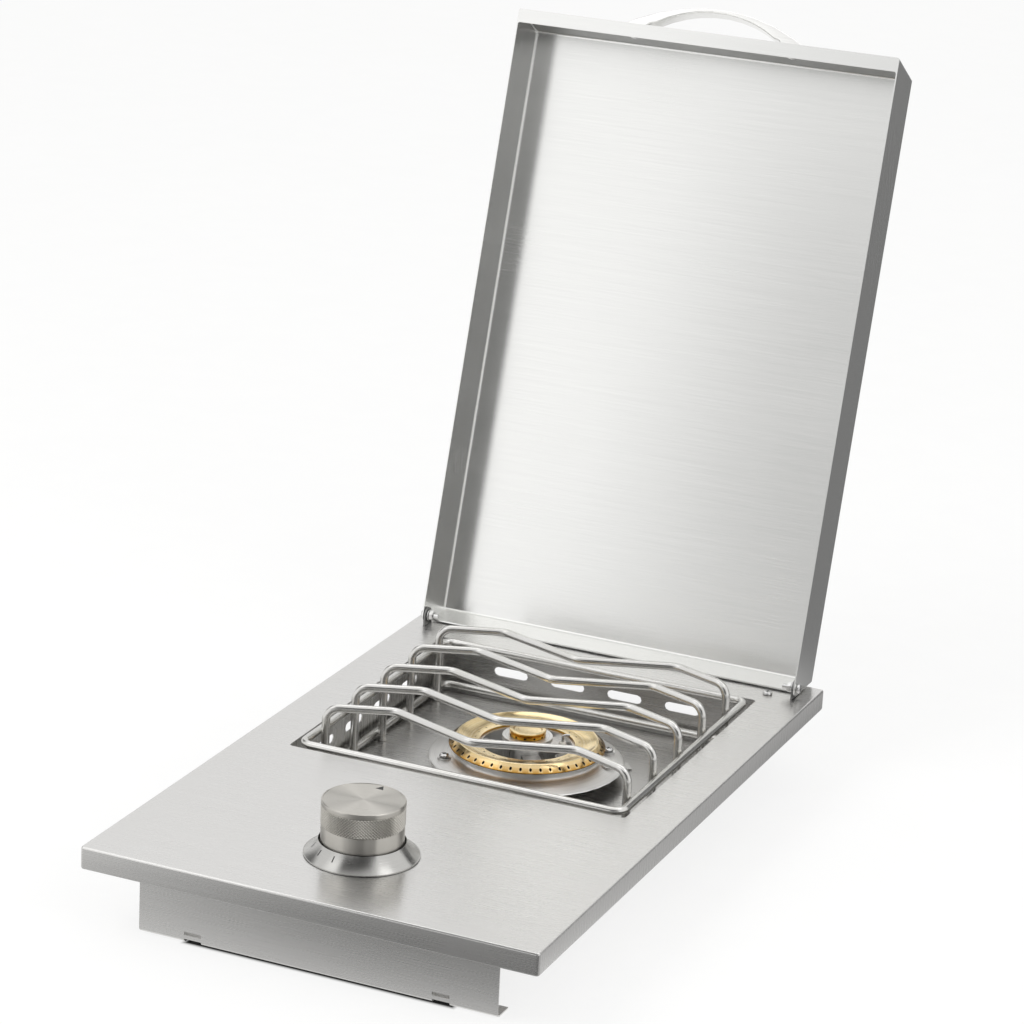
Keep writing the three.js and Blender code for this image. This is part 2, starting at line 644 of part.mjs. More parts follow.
function hinge(name, side) {
  const mirror = place(0, 0, 0);
  mirror.scale.x = side;
  piece("hinge_bracket_" + name, hingeBracket(), materials.brushedSteel, mirror);
  const inner = earX - EAR_SHEET / 2;
  const nutX = inner - 2 * SEAT - WASHER_HEIGHT;
  const boltEnd = nutX - NUT_HEIGHT - BOLT_TAIL;
  const boltLength = lidWidth / 2 - boltEnd;
  const bolt = panScrew(boltLength).rotateY(RIGHT_ANGLE).translate(lidWidth / 2, pivot.y, pivot.z);
  piece("hinge_bolt_" + name, bolt, materials.zincScrew, mirror);
  const bore = () => rod(SHANK + SEAT, 2 * NUT_HEIGHT + OVERRUN).translate(0, 0, -NUT_HEIGHT - OVERRUN / 2);
  const onBolt = (geometry, x) => geometry.rotateY(-RIGHT_ANGLE).translate(x, pivot.y, pivot.z);
  const washer = cut(rod(WASHER_RADIUS, WASHER_HEIGHT), bore());
  piece("hinge_washer_" + name, onBolt(washer, inner - SEAT), materials.zincScrew, mirror);
  const nut = cut(prism(hexagon(NUT_ACROSS), NUT_HEIGHT), bore());
  piece("hinge_nut_" + name, onBolt(nut, nutX), materials.zincScrew, mirror);
  const screw = panScrew(FOOT_SCREW_LENGTH).translate(footScrewX, footScrewY, 0);
  piece("hinge_foot_screw_" + name, screw, materials.zincScrew, mirror);
}

function lid() {
  const closed = place(0, pivot.y, pivot.z);
  closed.rotation.x = -RIGHT_ANGLE - lean;
  piece("lid_shell", lidShell(), materials.brushedSteel, closed);
  piece("lid_handle", handle(), materials.polishedSteel, closed);
  sides.forEach(([name, side]) => {
    const screw = panScrew(SHEET + HANDLE_SCREW_DEPTH)
      .rotateX(Math.PI)
      .translate(side * handleScrewX, 0, -SHEET);
    piece("lid_handle_screw_" + name, onFrontWall(screw), materials.zincScrew, closed);
  });
}

function knob() {
  const rimFoot = KNOB_TOP - KNOB_RIM;
  const knurlFoot = rimFoot - KNOB_KNURL;
  const grooved = KNOB_RADIUS - KNOB_GROOVE;
  const inner = KNOB_FOOT_RADIUS - KNOB_WALL;
  const ceiling = KNOB_TOP - KNOB_CROWN;
  return cut(turned([
    [0, KNOB_TOP], [KNOB_RADIUS - KNOB_CHAMFER, KNOB_TOP], [KNOB_RADIUS, KNOB_TOP - KNOB_CHAMFER],
    [KNOB_RADIUS, rimFoot], [grooved, rimFoot - KNOB_GROOVE], [KNOB_RADIUS, rimFoot - 2 * KNOB_GROOVE],
    [KNOB_RADIUS, knurlFoot + 2 * KNOB_GROOVE], [grooved, knurlFoot + KNOB_GROOVE],
    [KNOB_FOOT_RADIUS, knurlFoot], [KNOB_FOOT_RADIUS, KNOB_FOOT], [inner, KNOB_FOOT],
    [inner, ceiling], [KNOB_BOSS_RADIUS, ceiling], [KNOB_BOSS_RADIUS, knobBossFoot], [0, knobBossFoot],
  ]), stemSolid(STEM_RADIUS + SEAT, knobBossFoot - OVERRUN, stemTop + SEAT));
}

const collarFoot = NECK_RISE + KNOB_TRAVEL + SEAT;
const knobBossFoot = collarFoot + COLLAR_HEIGHT + SEAT;
const stemTop = knobBossFoot + STEM_GRIP;
const stemFoot = NECK_RISE - STEM_TAIL;

// A round stem with one flat, between two heights
function stemSolid(radius, foot, top) {
  const flat = new THREE.BoxGeometry(2 * radius, STEM_FLAT + OVERRUN, top - foot + 2 * OVERRUN)
    .translate(0, -radius + STEM_FLAT - (STEM_FLAT + OVERRUN) / 2, (foot + top) / 2);
  return cut(rod(radius, top - foot, "z", ROUND_SIDES / 2).translate(0, 0, foot), flat);
}

function bezel() {
  const flank = new THREE.QuadraticBezierCurve(
    new THREE.Vector2(BEZEL_RADIUS, SEAT),
    new THREE.Vector2((BEZEL_RADIUS + BEZEL_MOUTH) / 2 - BEZEL_HOLLOW, BEZEL_HEIGHT / 2 - BEZEL_HOLLOW),
    new THREE.Vector2(BEZEL_MOUTH, BEZEL_HEIGHT),
  ).getPoints(ARC_STEPS).map(({ x, y }) => [x, y]);
  const floor = SEAT + SHEET;
  const body = ring([
    ...flank, [BEZEL_MOUTH, BEZEL_HEIGHT - BEZEL_WALL], [BEZEL_RADIUS - 2 * BEZEL_WALL - BEZEL_HOLLOW, floor],
    [NECK_RADIUS + SHANK_FIT, floor], [NECK_RADIUS + SHANK_FIT, SEAT],
  ]);
  const holes = sides.map(([, side]) => screwHole(SHEET).translate((side * EARS_HOLE_SPAN) / 2, 0, SHEET));
  return cut(body, ...holes);
}

function valveBody() {
  const blockTop = VALVE_BLOCK_HEIGHT / 2 - GAS_DROP;
  const ears = prism(roundedRectangle(EARS_LENGTH, EARS_WIDTH, EARS_WIDTH / 2), EARS_HEIGHT)
    .translate(0, 0, panelUnder - EARS_HEIGHT);
  const neck = rod(NECK_RADIUS, NECK_RISE - panelUnder + SHEET, "z", ROUND_SIDES / 2)
    .translate(0, 0, panelUnder - SHEET);
  const barrel = rod(VALVE_BARREL, panelUnder - blockTop, "z", ROUND_SIDES / 2)
    .translate(0, 0, blockTop - SHEET);
  const blockShape = roundedRectangle(VALVE_BLOCK, VALVE_BLOCK, VALVE_ROUND);
  const block = prism(blockShape, VALVE_BLOCK_HEIGHT, VALVE_ROUND / 2)
    .translate(0, 0, blockTop - VALVE_BLOCK_HEIGHT);
  const bossReach = VALVE_BLOCK / 2 + PORT_BOSS_LENGTH;
  const outlet = rod(PORT_BOSS_RADIUS, bossReach, "y").translate(0, 0, -GAS_DROP);
  const inlet = rod(PORT_BOSS_RADIUS, bossReach, "x").translate(-bossReach, 0, -GAS_DROP);
  const outletBore = rod(PORT_BORE, PORT_BORE_DEPTH + OVERRUN, "y")
    .translate(0, bossReach - PORT_BORE_DEPTH, -GAS_DROP);
  const inletBore = rod(PORT_BORE, PORT_BORE_DEPTH + OVERRUN, "x")
    .translate(-bossReach - OVERRUN, 0, -GAS_DROP);
  const stemBore = rod(STEM_RADIUS + SEAT, STEM_TAIL + KNOB_TRAVEL + SEAT + OVERRUN, "z", ROUND_SIDES / 2)
    .translate(0, 0, stemFoot - KNOB_TRAVEL - SEAT);
  const earHoles = sides.map(([, side]) =>
    screwHole(EARS_HEIGHT - panelUnder).translate((side * EARS_HOLE_SPAN) / 2, 0, 0));
  return cut(join(ears, neck, barrel, block, outlet, inlet), outletBore, inletBore, stemBore, ...earHoles);
}

// A hexagon fitting along +Y: a spigot behind its seat, a hexagon, and a tip with a bore right through
function fitting({ across, hex, spigot, tip, tipLength, tipEnd, bore }) {
  const nut = prism(hexagon(across), hex).rotateX(-RIGHT_ANGLE);
  const back = rod(spigot, SPIGOT_LENGTH + hex, "y").translate(0, -SPIGOT_LENGTH, 0);
  const front = rod(tip, tipLength + hex / 2, "y", BORE_SIDES, tipEnd).translate(0, hex / 2, 0);
  const hole = rod(bore, SPIGOT_LENGTH + hex + tipLength + 2 * OVERRUN, "y")
    .translate(0, -SPIGOT_LENGTH - OVERRUN, 0);
  return cut(join(nut, back, front), hole);
}

const portFace = VALVE_BLOCK / 2 + PORT_BOSS_LENGTH + SEAT;

function controls() {
  const at = place(0, knobY, 0);
  piece("control_knob", knob(), materials.satinNickel, at);
  piece("knob_bezel", bezel(), materials.satinNickel, at);
  piece("valve_stem", stemSolid(STEM_RADIUS, stemFoot, stemTop), materials.zincScrew, at);
  const collar = ring([
    [STEM_RADIUS + SEAT, collarFoot], [COLLAR_RADIUS, collarFoot],
    [COLLAR_RADIUS, collarFoot + COLLAR_HEIGHT], [STEM_RADIUS + SEAT, collarFoot + COLLAR_HEIGHT],
  ], ROUND_SIDES / 2);
  piece("stem_collar", collar, materials.zincScrew, at);
  piece("valve_body", valveBody(), materials.brass, at);
  sides.forEach(([name, side]) => {
    const screw = panScrew(EARS_HEIGHT + SHEET).translate((side * EARS_HOLE_SPAN) / 2, 0, SHEET + SEAT);
    piece("valve_screw_" + name, screw, materials.zincScrew, at);
  });
  const inlet = fitting({
    across: INLET_ACROSS, hex: INLET_HEX, spigot: PORT_BORE - SEAT,
    tip: INLET_NIPPLE, tipLength: INLET_LENGTH, tipEnd: INLET_NIPPLE, bore: INLET_BORE,
  });
  const turnedInlet = inlet.rotateZ(RIGHT_ANGLE).translate(-portFace, 0, -GAS_DROP);
  piece("gas_inlet_fitting", turnedInlet, materials.brass, at);
  const orifice = fitting({
    across: ORIFICE_ACROSS, hex: ORIFICE_HEX, spigot: PORT_BORE - SEAT,
    tip: PORT_BORE - SEAT, tipLength: ORIFICE_TIP, tipEnd: ORIFICE_TIP_RADIUS, bore: ORIFICE_BORE,
  });
  piece("gas_orifice", orifice.translate(0, portFace, -GAS_DROP), materials.brass, at);
}

const mixerMouth = knobY + portFace + ORIFICE_HEX + SEAT;

function mixerTube() {
  const hubEnd = MIXER_SOCKET - HUB_BOTTOM_DROP;
  const line = (overrun) => bent([
    new THREE.Vector3(0, mixerMouth - overrun, -GAS_DROP), new THREE.Vector3(0, wellY, -GAS_DROP),
    new THREE.Vector3(0, wellY, hubEnd + overrun),
  ], MIXER_BEND);
  const outer = wire(line(0), MIXER_RADIUS, BORE_SIDES);
  const bore = wire(line(OVERRUN), MIXER_RADIUS - MIXER_WALL, BORE_SIDES);
  return cut(outer, bore, airWindow());
}

// The air windows at the tube's mouth, cut right through from top to bottom
const airWindow = () => new THREE.BoxGeometry(WINDOW_WIDTH, WINDOW_LENGTH, 2 * MIXER_RADIUS + 2 * OVERRUN)
  .translate(0, mixerMouth - SHUTTER_OVERHANG + SHUTTER_LENGTH / 2, -GAS_DROP);

function airShutter() {
  const start = mixerMouth - SHUTTER_OVERHANG;
  const outer = MIXER_RADIUS + SEAT + SHUTTER_WALL;
  const mouth = ORIFICE_ACROSS / 2 / Math.cos(FULL_TURN / 12) + SEAT; // clears the hexagon's corners
  const sleeve = ring([
    [mouth, 0], [outer, 0], [outer, SHUTTER_LENGTH], [MIXER_RADIUS + SEAT, SHUTTER_LENGTH],
    [MIXER_RADIUS + SEAT, SHUTTER_WALL], [mouth, SHUTTER_WALL],
  ], BORE_SIDES).rotateX(-RIGHT_ANGLE).translate(0, start, -GAS_DROP);
  return cut(sleeve, airWindow());
}

function burnerBase() {
  const floor = -BURNER_FLOOR_DROP;
  const rim = -BURNER_DISC_DROP;
  const foot = rim + BURNER_DISC_RISE;
  const outerTop = ringRecess - SEAT;
  const innerTop = ringInnerFoot - SEAT;
  const channelOut = BURNER_BODY - BURNER_WALL;
  const channelIn = BURNER_THROAT + BURNER_WALL;
  const channelFloor = floor + BURNER_WALL;
  const body = ring([
    [BURNER_THROAT, floor], [BURNER_BODY, floor], [BURNER_BODY, foot - BURNER_DISC_SHEET],
    [BURNER_DISC - BURNER_DISC_SHEET, rim - BURNER_DISC_SHEET], [BURNER_DISC, rim - BURNER_DISC_SHEET / 2],
    [BURNER_DISC - BURNER_DISC_SHEET / 2, rim], [BURNER_BODY + BURNER_WALL, foot - BURNER_WALL / 4],
    [BURNER_BODY + BURNER_WALL / 4, foot + BURNER_WALL / 4], [BURNER_BODY, foot + BURNER_WALL],
    [BURNER_BODY, outerTop], [channelOut, outerTop], [channelOut, channelFloor], [channelIn, channelFloor],
    [channelIn, innerTop], [BURNER_THROAT, innerTop],
  ]);
  const hubFoot = -HUB_BOTTOM_DROP;
  const socket = MIXER_RADIUS + SEAT;
  const hubTop = -HUB_TOP_DROP;
  const hub = ring([
    [socket, hubFoot], [HUB_RADIUS, hubFoot], [HUB_RADIUS, floor + ARM_HEIGHT],
    [HUB_TOP_RADIUS, hubTop - BURNER_WALL], [HUB_TOP_RADIUS, hubTop], [HUB_BORE, hubTop],
    [HUB_BORE, hubFoot + MIXER_SOCKET + SEAT], [socket, hubFoot + MIXER_SOCKET + SEAT],
  ], ROUND_SIDES / 2);
  const armMiddle = floor + ARM_HEIGHT / 2;
  const turns = Array.from({ length: ARM_COUNT }, (_, i) =>
    radians(ARM_TURN) + (i * FULL_TURN) / ARM_COUNT);
  const armFrom = (HUB_RADIUS + socket) / 2;
  const armTo = BURNER_THROAT + BURNER_WALL / 2;
  const arms = turns.map((turn) => new THREE.BoxGeometry(armTo - armFrom, ARM_WIDTH, ARM_HEIGHT)
    .translate((armFrom + armTo) / 2, 0, armMiddle).rotateZ(turn));
  const bores = turns.map((turn) =>
    rod(ARM_BORE, channelIn, "x", WIRE_SIDES).translate(OVERRUN, 0, armMiddle).rotateZ(turn));
  const lug = rod(LUG_RADIUS, LUG_HEIGHT).translate(IGNITER_CIRCLE, 0, floor);
  const lugWeb = new THREE.BoxGeometry(armTo - IGNITER_CIRCLE, LUG_RADIUS, LUG_HEIGHT)
    .translate((armTo + IGNITER_CIRCLE) / 2, 0, floor + LUG_HEIGHT / 2);
  const igniterTurn = radians(IGNITER_TURN);
  const ceramicHole = rod(CERAMIC_RADIUS + SEAT, LUG_HEIGHT + 2 * OVERRUN)
    .translate(IGNITER_CIRCLE, 0, floor - OVERRUN).rotateZ(igniterTurn);
  const padHeight = BURNER_DISC_DROP + BURNER_DISC_SHEET - PAD_DROP;
  const screwTurns = [radians(DISC_SCREW_TURN), radians(DISC_SCREW_TURN) + Math.PI];
  const pads = [...screwTurns, radians(PLAIN_PAD_TURN)].map((turn) => rod(PAD_RADIUS, padHeight)
    .translate(DISC_SCREW_CIRCLE, 0, -PAD_DROP - padHeight).rotateZ(turn));
  const screwHoles = screwTurns.map((turn) => screwHole(padHeight)
    .translate(DISC_SCREW_CIRCLE, 0, -PAD_DROP).rotateZ(turn));
  const casting = join(body, hub, ...arms, ...pads, lug.rotateZ(igniterTurn), lugWeb.rotateZ(igniterTurn));
  return cut(casting, ceramicHole, ...bores, ...screwHoles);
}

const ringRecess = -RING_EDGE_DROP + RING_WALL;
const ringInnerTop = ringRecess + RING_WALL / 2;
const ringInnerFoot = ringInnerTop - RING_WALL;

function brassRing() {
  const crest = -RING_CREST_DROP;
  const edge = -RING_EDGE_DROP;
  const seatOut = BURNER_BODY + SEAT;
  const seatIn = BURNER_BODY - BURNER_WALL - SEAT;
  const dish = new THREE.QuadraticBezierCurve(
    new THREE.Vector2(RING_CREST - RING_LAND, crest),
    new THREE.Vector2((RING_CREST + RING_HOLE) / 2, ringInnerTop),
    new THREE.Vector2(RING_HOLE, ringInnerTop),
  ).getPoints(ARC_STEPS - 1);
  const under = dish.slice(1, -1).map(({ x, y }) => [x - RING_WALL / 2, y - RING_WALL]);
  const body = ring([
    [RING_RADIUS, edge], [RING_RADIUS, edge + RING_LAND], [RING_CREST, crest],
    ...dish.map(({ x, y }) => [x, y]), [RING_HOLE, ringInnerFoot], ...under.reverse(),
    [seatIn - RING_WALL, crest - RING_WALL], [seatIn, crest - RING_WALL], [seatIn, ringRecess],
    [seatOut, ringRecess], [seatOut, edge],
  ], PORT_COUNT);
  const middle = (crest + edge) / 2;
  const ports = Array.from({ length: PORT_COUNT }, (_, i) =>
    rod(PORT_RADIUS, RING_RADIUS - seatIn + 2 * RING_WALL, "x", FINE_SIDES)
      .translate(seatIn - RING_WALL, 0, middle)
      .rotateZ(((i + 0.5) * FULL_TURN) / PORT_COUNT));
  const innerPorts = Array.from({ length: INNER_PORT_COUNT }, (_, i) =>
    rod(INNER_PORT_RADIUS, ringInnerTop - ringInnerFoot + 2 * OVERRUN, "z", FINE_SIDES)
      .translate(INNER_PORT_CIRCLE, 0, ringInnerFoot - OVERRUN)
      .rotateZ((i * FULL_TURN) / INNER_PORT_COUNT));
  return cut(body, ...ports, ...innerPorts);
}

function cap() {
  const top = -CAP_TOP_DROP;
  const foot = SEAT - HUB_TOP_DROP;
  const spigot = HUB_BORE - SEAT;
  const hollowTop = top - CAP_DISH - CAP_WALL;
  const bandTop = top - CAP_BAND_DROP;
  const body = turned([
    [0, top - CAP_DISH], [CAP_BAND - 2 * CAP_RIM, top - CAP_DISH], [CAP_RADIUS - CAP_RIM / 2, top],
    [CAP_RADIUS, top - CAP_RIM / 2], [CAP_RADIUS, top - CAP_RIM], [CAP_WAIST, top - CAP_WAIST_DROP],
    [CAP_BAND, bandTop], [CAP_BAND, foot], [spigot, foot], [spigot, foot - CAP_SPIGOT],
    [spigot - CAP_WALL, foot - CAP_SPIGOT], [spigot - CAP_WALL, hollowTop], [0, hollowTop],
  ], ROUND_SIDES / 2);
  const ports = Array.from({ length: CAP_PORT_COUNT }, (_, i) =>
    rod(CAP_PORT_RADIUS, CAP_RADIUS, "x", FINE_SIDES)
      .translate(spigot - 2 * CAP_WALL, 0, (bandTop + foot) / 2)
      .rotateZ(((i + 0.5) * FULL_TURN) / CAP_PORT_COUNT));
  return cut(body, ...ports);
}

// A Z-shaped stay under the disc, its foot on the tub floor, drawn at the screw's angle zero
function burnerStay() {
  const top = -BURNER_DISC_DROP - BURNER_DISC_SHEET - SEAT - STAY_SHEET / 2;
  const foot = tubFloor + SEAT + STAY_SHEET / 2;
  const bend = DISC_SCREW_CIRCLE + STAY_TOP / 2;
  const line = bent([
    new THREE.Vector2(bend - STAY_TOP, top), new THREE.Vector2(bend, top),
    new THREE.Vector2(bend, foot), new THREE.Vector2(bend + STAY_FOOT, foot),
  ], BEND);
  const strip = prism(sheetSection(line, STAY_SHEET), STAY_WIDTH)
    .rotateX(RIGHT_ANGLE)
    .translate(0, STAY_WIDTH / 2, 0);
  return cut(strip, screwHole(2 * STAY_SHEET).translate(DISC_SCREW_CIRCLE, 0, top + STAY_SHEET));
}

function igniter(at) {
  const spot = place(0, 0, 0, radians(IGNITER_TURN), at);
  const top = -CERAMIC_TOP_DROP;
  const foot = top - CERAMIC_LENGTH;
  const ceramic = ring([
    [ELECTRODE_RADIUS + SEAT, foot], [CERAMIC_RADIUS, foot], [CERAMIC_RADIUS, top - CERAMIC_RADIUS / 2],
    [CERAMIC_TIP, top], [ELECTRODE_RADIUS + SEAT, top],
  ], BORE_SIDES).translate(IGNITER_CIRCLE, 0, 0);
  piece("igniter_ceramic", ceramic, materials.ceramic, spot);
  const tip = top + ELECTRODE_RISE;
  const stations = bent([
    new THREE.Vector3(IGNITER_CIRCLE, 0, foot), new THREE.Vector3(IGNITER_CIRCLE, 0, tip),
    new THREE.Vector3(IGNITER_CIRCLE + ELECTRODE_REACH, 0, tip),
  ], 2 * ELECTRODE_RADIUS);
  piece("igniter_electrode", wire(stations, ELECTRODE_RADIUS), materials.zincScrew, spot);
}

function gasBurner() {
  const at = place(0, wellY, 0);
  piece("burner_base", burnerBase(), materials.castAluminium, at);
  piece("burner_ring", brassRing(), materials.brass, at);
  piece("burner_cap", cap(), materials.brass, at);
  igniter(at);
  const turn = radians(DISC_SCREW_TURN);
  sides.forEach(([name, side]) => {
    const stay = place(0, 0, 0, turn + (side < 0 ? Math.PI : 0), at);
    piece("burner_bracket_" + name, burnerStay(), materials.brushedSteel, stay);
    const screw = panScrew(DISC_SCREW_LENGTH).translate(DISC_SCREW_CIRCLE, 0, -PAD_DROP);
    piece("burner_screw_" + name, screw, materials.zincScrew, stay);
  });
}

function grateFrame(height) {
  const x = frameWidth / 2;
  const y = frameDepth / 2;
  const corners = [[x, -y], [x, y], [-x, y], [-x, -y]].map(([cx, cy]) => new THREE.Vector3(cx, cy, height));
  return hoop(bent(corners, FRAME_CORNER, true));
}

function grateBar() {
  const legX = frameWidth / 2 - 2 * WIRE - SEAT;
  const foot = tubFloor + SEAT;
  const kinkX = legX * BAR_KINK_SHARE;
  const half = [[legX, 0, foot], [legX, 0, BAR_HEIGHT], [kinkX, BAR_KINK_BACK, BAR_HEIGHT]];
  const mirrored = half.map(([x, y, z]) => [-x, y, z]).reverse();
  const corners = [...half, [0, -BAR_KINK_FRONT, BAR_HEIGHT], ...mirrored];
  const radii = [0, BAR_LEG_BEND, BAR_KINK_BEND, BAR_KINK_BEND, BAR_KINK_BEND, BAR_LEG_BEND, 0];
  return wire(bent(corners.map((corner) => new THREE.Vector3(...corner)), radii));
}

function grate() {
  const at = place(0, wellY, 0);
  piece("grate_upper_frame", grateFrame(0), materials.wireSteel, at);
  piece("grate_lower_frame", grateFrame(-LOWER_FRAME_DROP), materials.wireSteel, at);
  for (let i = 0; i < BAR_COUNT; i += 1) {
    const row = place(0, (i - (BAR_COUNT - 1) / 2) * barPitch, 0, 0, at);
    piece("grate_bar_" + (i + 1), grateBar(), materials.wireSteel, row);
  }
}

piece("top_panel", topPanel(), materials.brushedSteel);
piece("burner_tub", tub(), materials.brushedSteel, place(0, wellY, 0));
piece("front_apron", apron(), materials.brushedSteel, place(0, APRON_SETBACK - PANEL_DEPTH / 2, 0));
sides.forEach(([name, side]) => hinge(name, side));
lid();
controls();
piece("mixer_tube", mixerTube(), materials.polishedSteel);
piece("air_shutter", airShutter(), materials.zincScrew);
gasBurner();
grate();

export default burner;
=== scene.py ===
import json
import math

import bmesh
import bpy
from bpy.props import FloatProperty, FloatVectorProperty, IntProperty, PointerProperty
from mathutils import Matrix, Vector

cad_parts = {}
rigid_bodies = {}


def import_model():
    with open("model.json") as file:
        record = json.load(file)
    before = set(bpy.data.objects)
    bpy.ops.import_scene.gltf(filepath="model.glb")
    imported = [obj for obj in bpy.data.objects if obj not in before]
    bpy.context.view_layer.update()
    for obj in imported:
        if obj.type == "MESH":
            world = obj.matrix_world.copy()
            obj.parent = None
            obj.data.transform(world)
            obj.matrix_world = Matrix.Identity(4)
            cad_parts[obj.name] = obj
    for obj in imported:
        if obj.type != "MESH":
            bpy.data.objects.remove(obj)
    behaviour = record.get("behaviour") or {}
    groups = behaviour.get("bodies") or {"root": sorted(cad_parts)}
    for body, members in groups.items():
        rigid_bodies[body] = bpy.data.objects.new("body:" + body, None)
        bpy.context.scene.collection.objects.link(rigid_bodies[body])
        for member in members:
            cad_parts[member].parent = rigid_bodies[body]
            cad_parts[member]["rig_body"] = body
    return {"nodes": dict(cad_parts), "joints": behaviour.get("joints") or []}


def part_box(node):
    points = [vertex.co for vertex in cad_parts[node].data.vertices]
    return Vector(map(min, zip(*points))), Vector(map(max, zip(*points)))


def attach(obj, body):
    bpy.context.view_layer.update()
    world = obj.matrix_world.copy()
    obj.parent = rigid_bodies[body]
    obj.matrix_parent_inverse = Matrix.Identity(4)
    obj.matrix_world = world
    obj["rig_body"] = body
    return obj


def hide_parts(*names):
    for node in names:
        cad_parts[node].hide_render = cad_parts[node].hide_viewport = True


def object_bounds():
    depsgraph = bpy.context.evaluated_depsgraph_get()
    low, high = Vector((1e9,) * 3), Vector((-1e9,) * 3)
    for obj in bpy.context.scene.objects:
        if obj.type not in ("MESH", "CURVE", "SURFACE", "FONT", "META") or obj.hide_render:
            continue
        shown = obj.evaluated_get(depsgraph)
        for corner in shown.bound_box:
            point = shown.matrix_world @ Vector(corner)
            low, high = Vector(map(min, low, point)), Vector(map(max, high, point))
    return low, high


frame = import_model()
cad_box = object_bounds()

bl_info = {
    "name": "Built In Side Burner",
    "version": (1, 0, 0),
    "blender": (4, 5, 0),
    "location": "View3D > Sidebar > Side Burner",
    "description": "Dresses a drop-in gas side burner in brushed steel, brass and cast aluminium",
    "category": "Object",
}

MM = 0.001
FULL_TURN = 2 * math.pi
RIGHT_ANGLE = math.pi / 2
MERGE_DISTANCE = 0.002 * MM
WHITE = (1, 1, 1, 1)
NOISE_MIDDLE = {"From Min": 0.3, "From Max": 0.7}  # where most values of a noise pattern lie
FLAT_GRAIN = (0, 1, 0.3)  # across the brushing of sheet that lies flat
UPRIGHT_GRAIN = (0, 0.3, 1)  # across the brushing of the open lid
DEGREES_PER_STEP = 7.5  # of a wire's bend


def linear(code):
    """The linear red, green, blue and alpha of an sRGB hex colour."""
    shares = [int(code[i:i + 2], 16) / 255 for i in (1, 3, 5)]
    return (*[s / 12.92 if s <= 0.04045 else ((s + 0.055) / 1.055) ** 2.4 for s in shares], 1)


def colour_property(name, description, code):
    return FloatVectorProperty(
        name=name, description=description, subtype="COLOR", size=4, min=0, max=1, default=linear(code))


def length_property(name, description, millimetres):
    return FloatProperty(name=name, description=description, unit="LENGTH", subtype="DISTANCE", min=0,
                         default=millimetres * MM)


def angle_property(name, description, degrees):
    return FloatProperty(name=name, description=description, unit="ROTATION", subtype="ANGLE",
                         default=math.radians(degrees))


# Sizes and places that come from the frame

def size_of(node):
    low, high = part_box(node)
    return high - low


def middle_of(node):
    low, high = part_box(node)
    return (low + high) / 2


def joint(name):
    return next(item for item in frame["joints"] if item["name"] == name)


class SteelSettings(bpy.types.PropertyGroup):
    """Finish of the folded sheet and of the wire"""
    sheet_colour: colour_property("Sheet", "Brushed stainless sheet", "#E1E0DE")
    streak_colour: colour_property("Streak", "Darker brushing streaks in the sheet", "#DAD9D7")
    inner_colour: colour_property("Lid inside", "Bright inside of the lid", "#F0F0EE")
    # The tub's colour is a painted shade, darker than the sheet
    tub_painted_shade_colour: colour_property("Tub", "Duller steel of the tub", "#CDCCCA")
    wire_colour: colour_property("Wire", "Satin stainless wire of the grate", "#D5D4D0")
    screw_colour: colour_property("Screws", "Bright zinc-plated screws", "#D8D9DA")
    # The hinge colour is partly a painted shade for the shadow round the ears
    hinge_and_painted_shade_colour: colour_property("Hinge", "Darker plated steel of the hinge ears", "#8E8E8D")
    streak_length: length_property("Streak length", "Length of one brushing streak", 80)
    streak_width: length_property("Streak width", "Width of one streak, drawn coarser than it is", 0.4)
    edge_round: length_property("Edge rounding", "Small rounding on cut sheet edges", 0.18)
    bend: length_property("Inner bend", "Inside radius of the lid's folds", 1.4)
    sheet_roughness: FloatProperty(
        name="Roughness", description="Roughness across the grain", min=0, max=1, default=0.27)


class KnobSettings(bpy.types.PropertyGroup):
    """Control knob and its bezel"""
    colour: colour_property("Nickel", "Satin nickel of the knob", "#CBC8C2")
    bezel_colour: colour_property("Bezel", "Brushed steel of the bezel", "#C6C5C2")
    ink_colour: colour_property("Ink", "Black of the pointer and the tick marks", "#161616")
    rim_height: length_property("Rim", "Plain rim above the knurl", 3)
    knurl_height: length_property("Knurl height", "Height of the knurled band", 15)
    knurl_depth: length_property("Knurl depth", "Depth of the knurl's grooves", 0.5)
    knurl_count: IntProperty(name="Knurl count", description="Diamonds around the knob", min=12, default=84)
    groove: length_property("Groove", "Turned groove above and below the knurl", 0.5)
    chamfer: length_property("Chamfer", "Rounding of the top edge", 1)
    pointer_length: length_property("Pointer length", "Length of the black pointer", 5.6)
    pointer_width: length_property("Pointer width", "Width of the pointer's inner end", 5.8)
    pointer_turn: angle_property("Pointer turn", "From straight back to the pointer", -3.5)
    tick_count: IntProperty(name="Ticks", description="Marks from off to low", min=2, default=8)
    tick_width: length_property("Tick width", "Width of one mark", 0.8)


class BurnerSettings(bpy.types.PropertyGroup):
    """Cast burner with its brass ring and cap"""
    casting_colour: colour_property("Casting", "Machined cast aluminium", "#F1F0EE")
    # Lit and shaded copies of one brass: the pale one is partly a painted sheen, the deep one a painted shade
    brass_and_painted_sheen_colour: colour_property("Brass", "Turned brass of ring and cap", "#F3E1B8")
    band_painted_shade_colour: colour_property("Brass band", "Deeper brass of the upright ported bands", "#C08F38")
    port_count: IntProperty(name="Ports", description="Flame ports around the ring", min=8, default=48)
    port_size: length_property("Port size", "Width of one flame port", 2)
    groove_pitch: length_property("Groove pitch", "Step of the turning grooves on ring and cap", 1.1)
    groove_depth: length_property("Groove depth", "Depth of the turning grooves", 0.02)


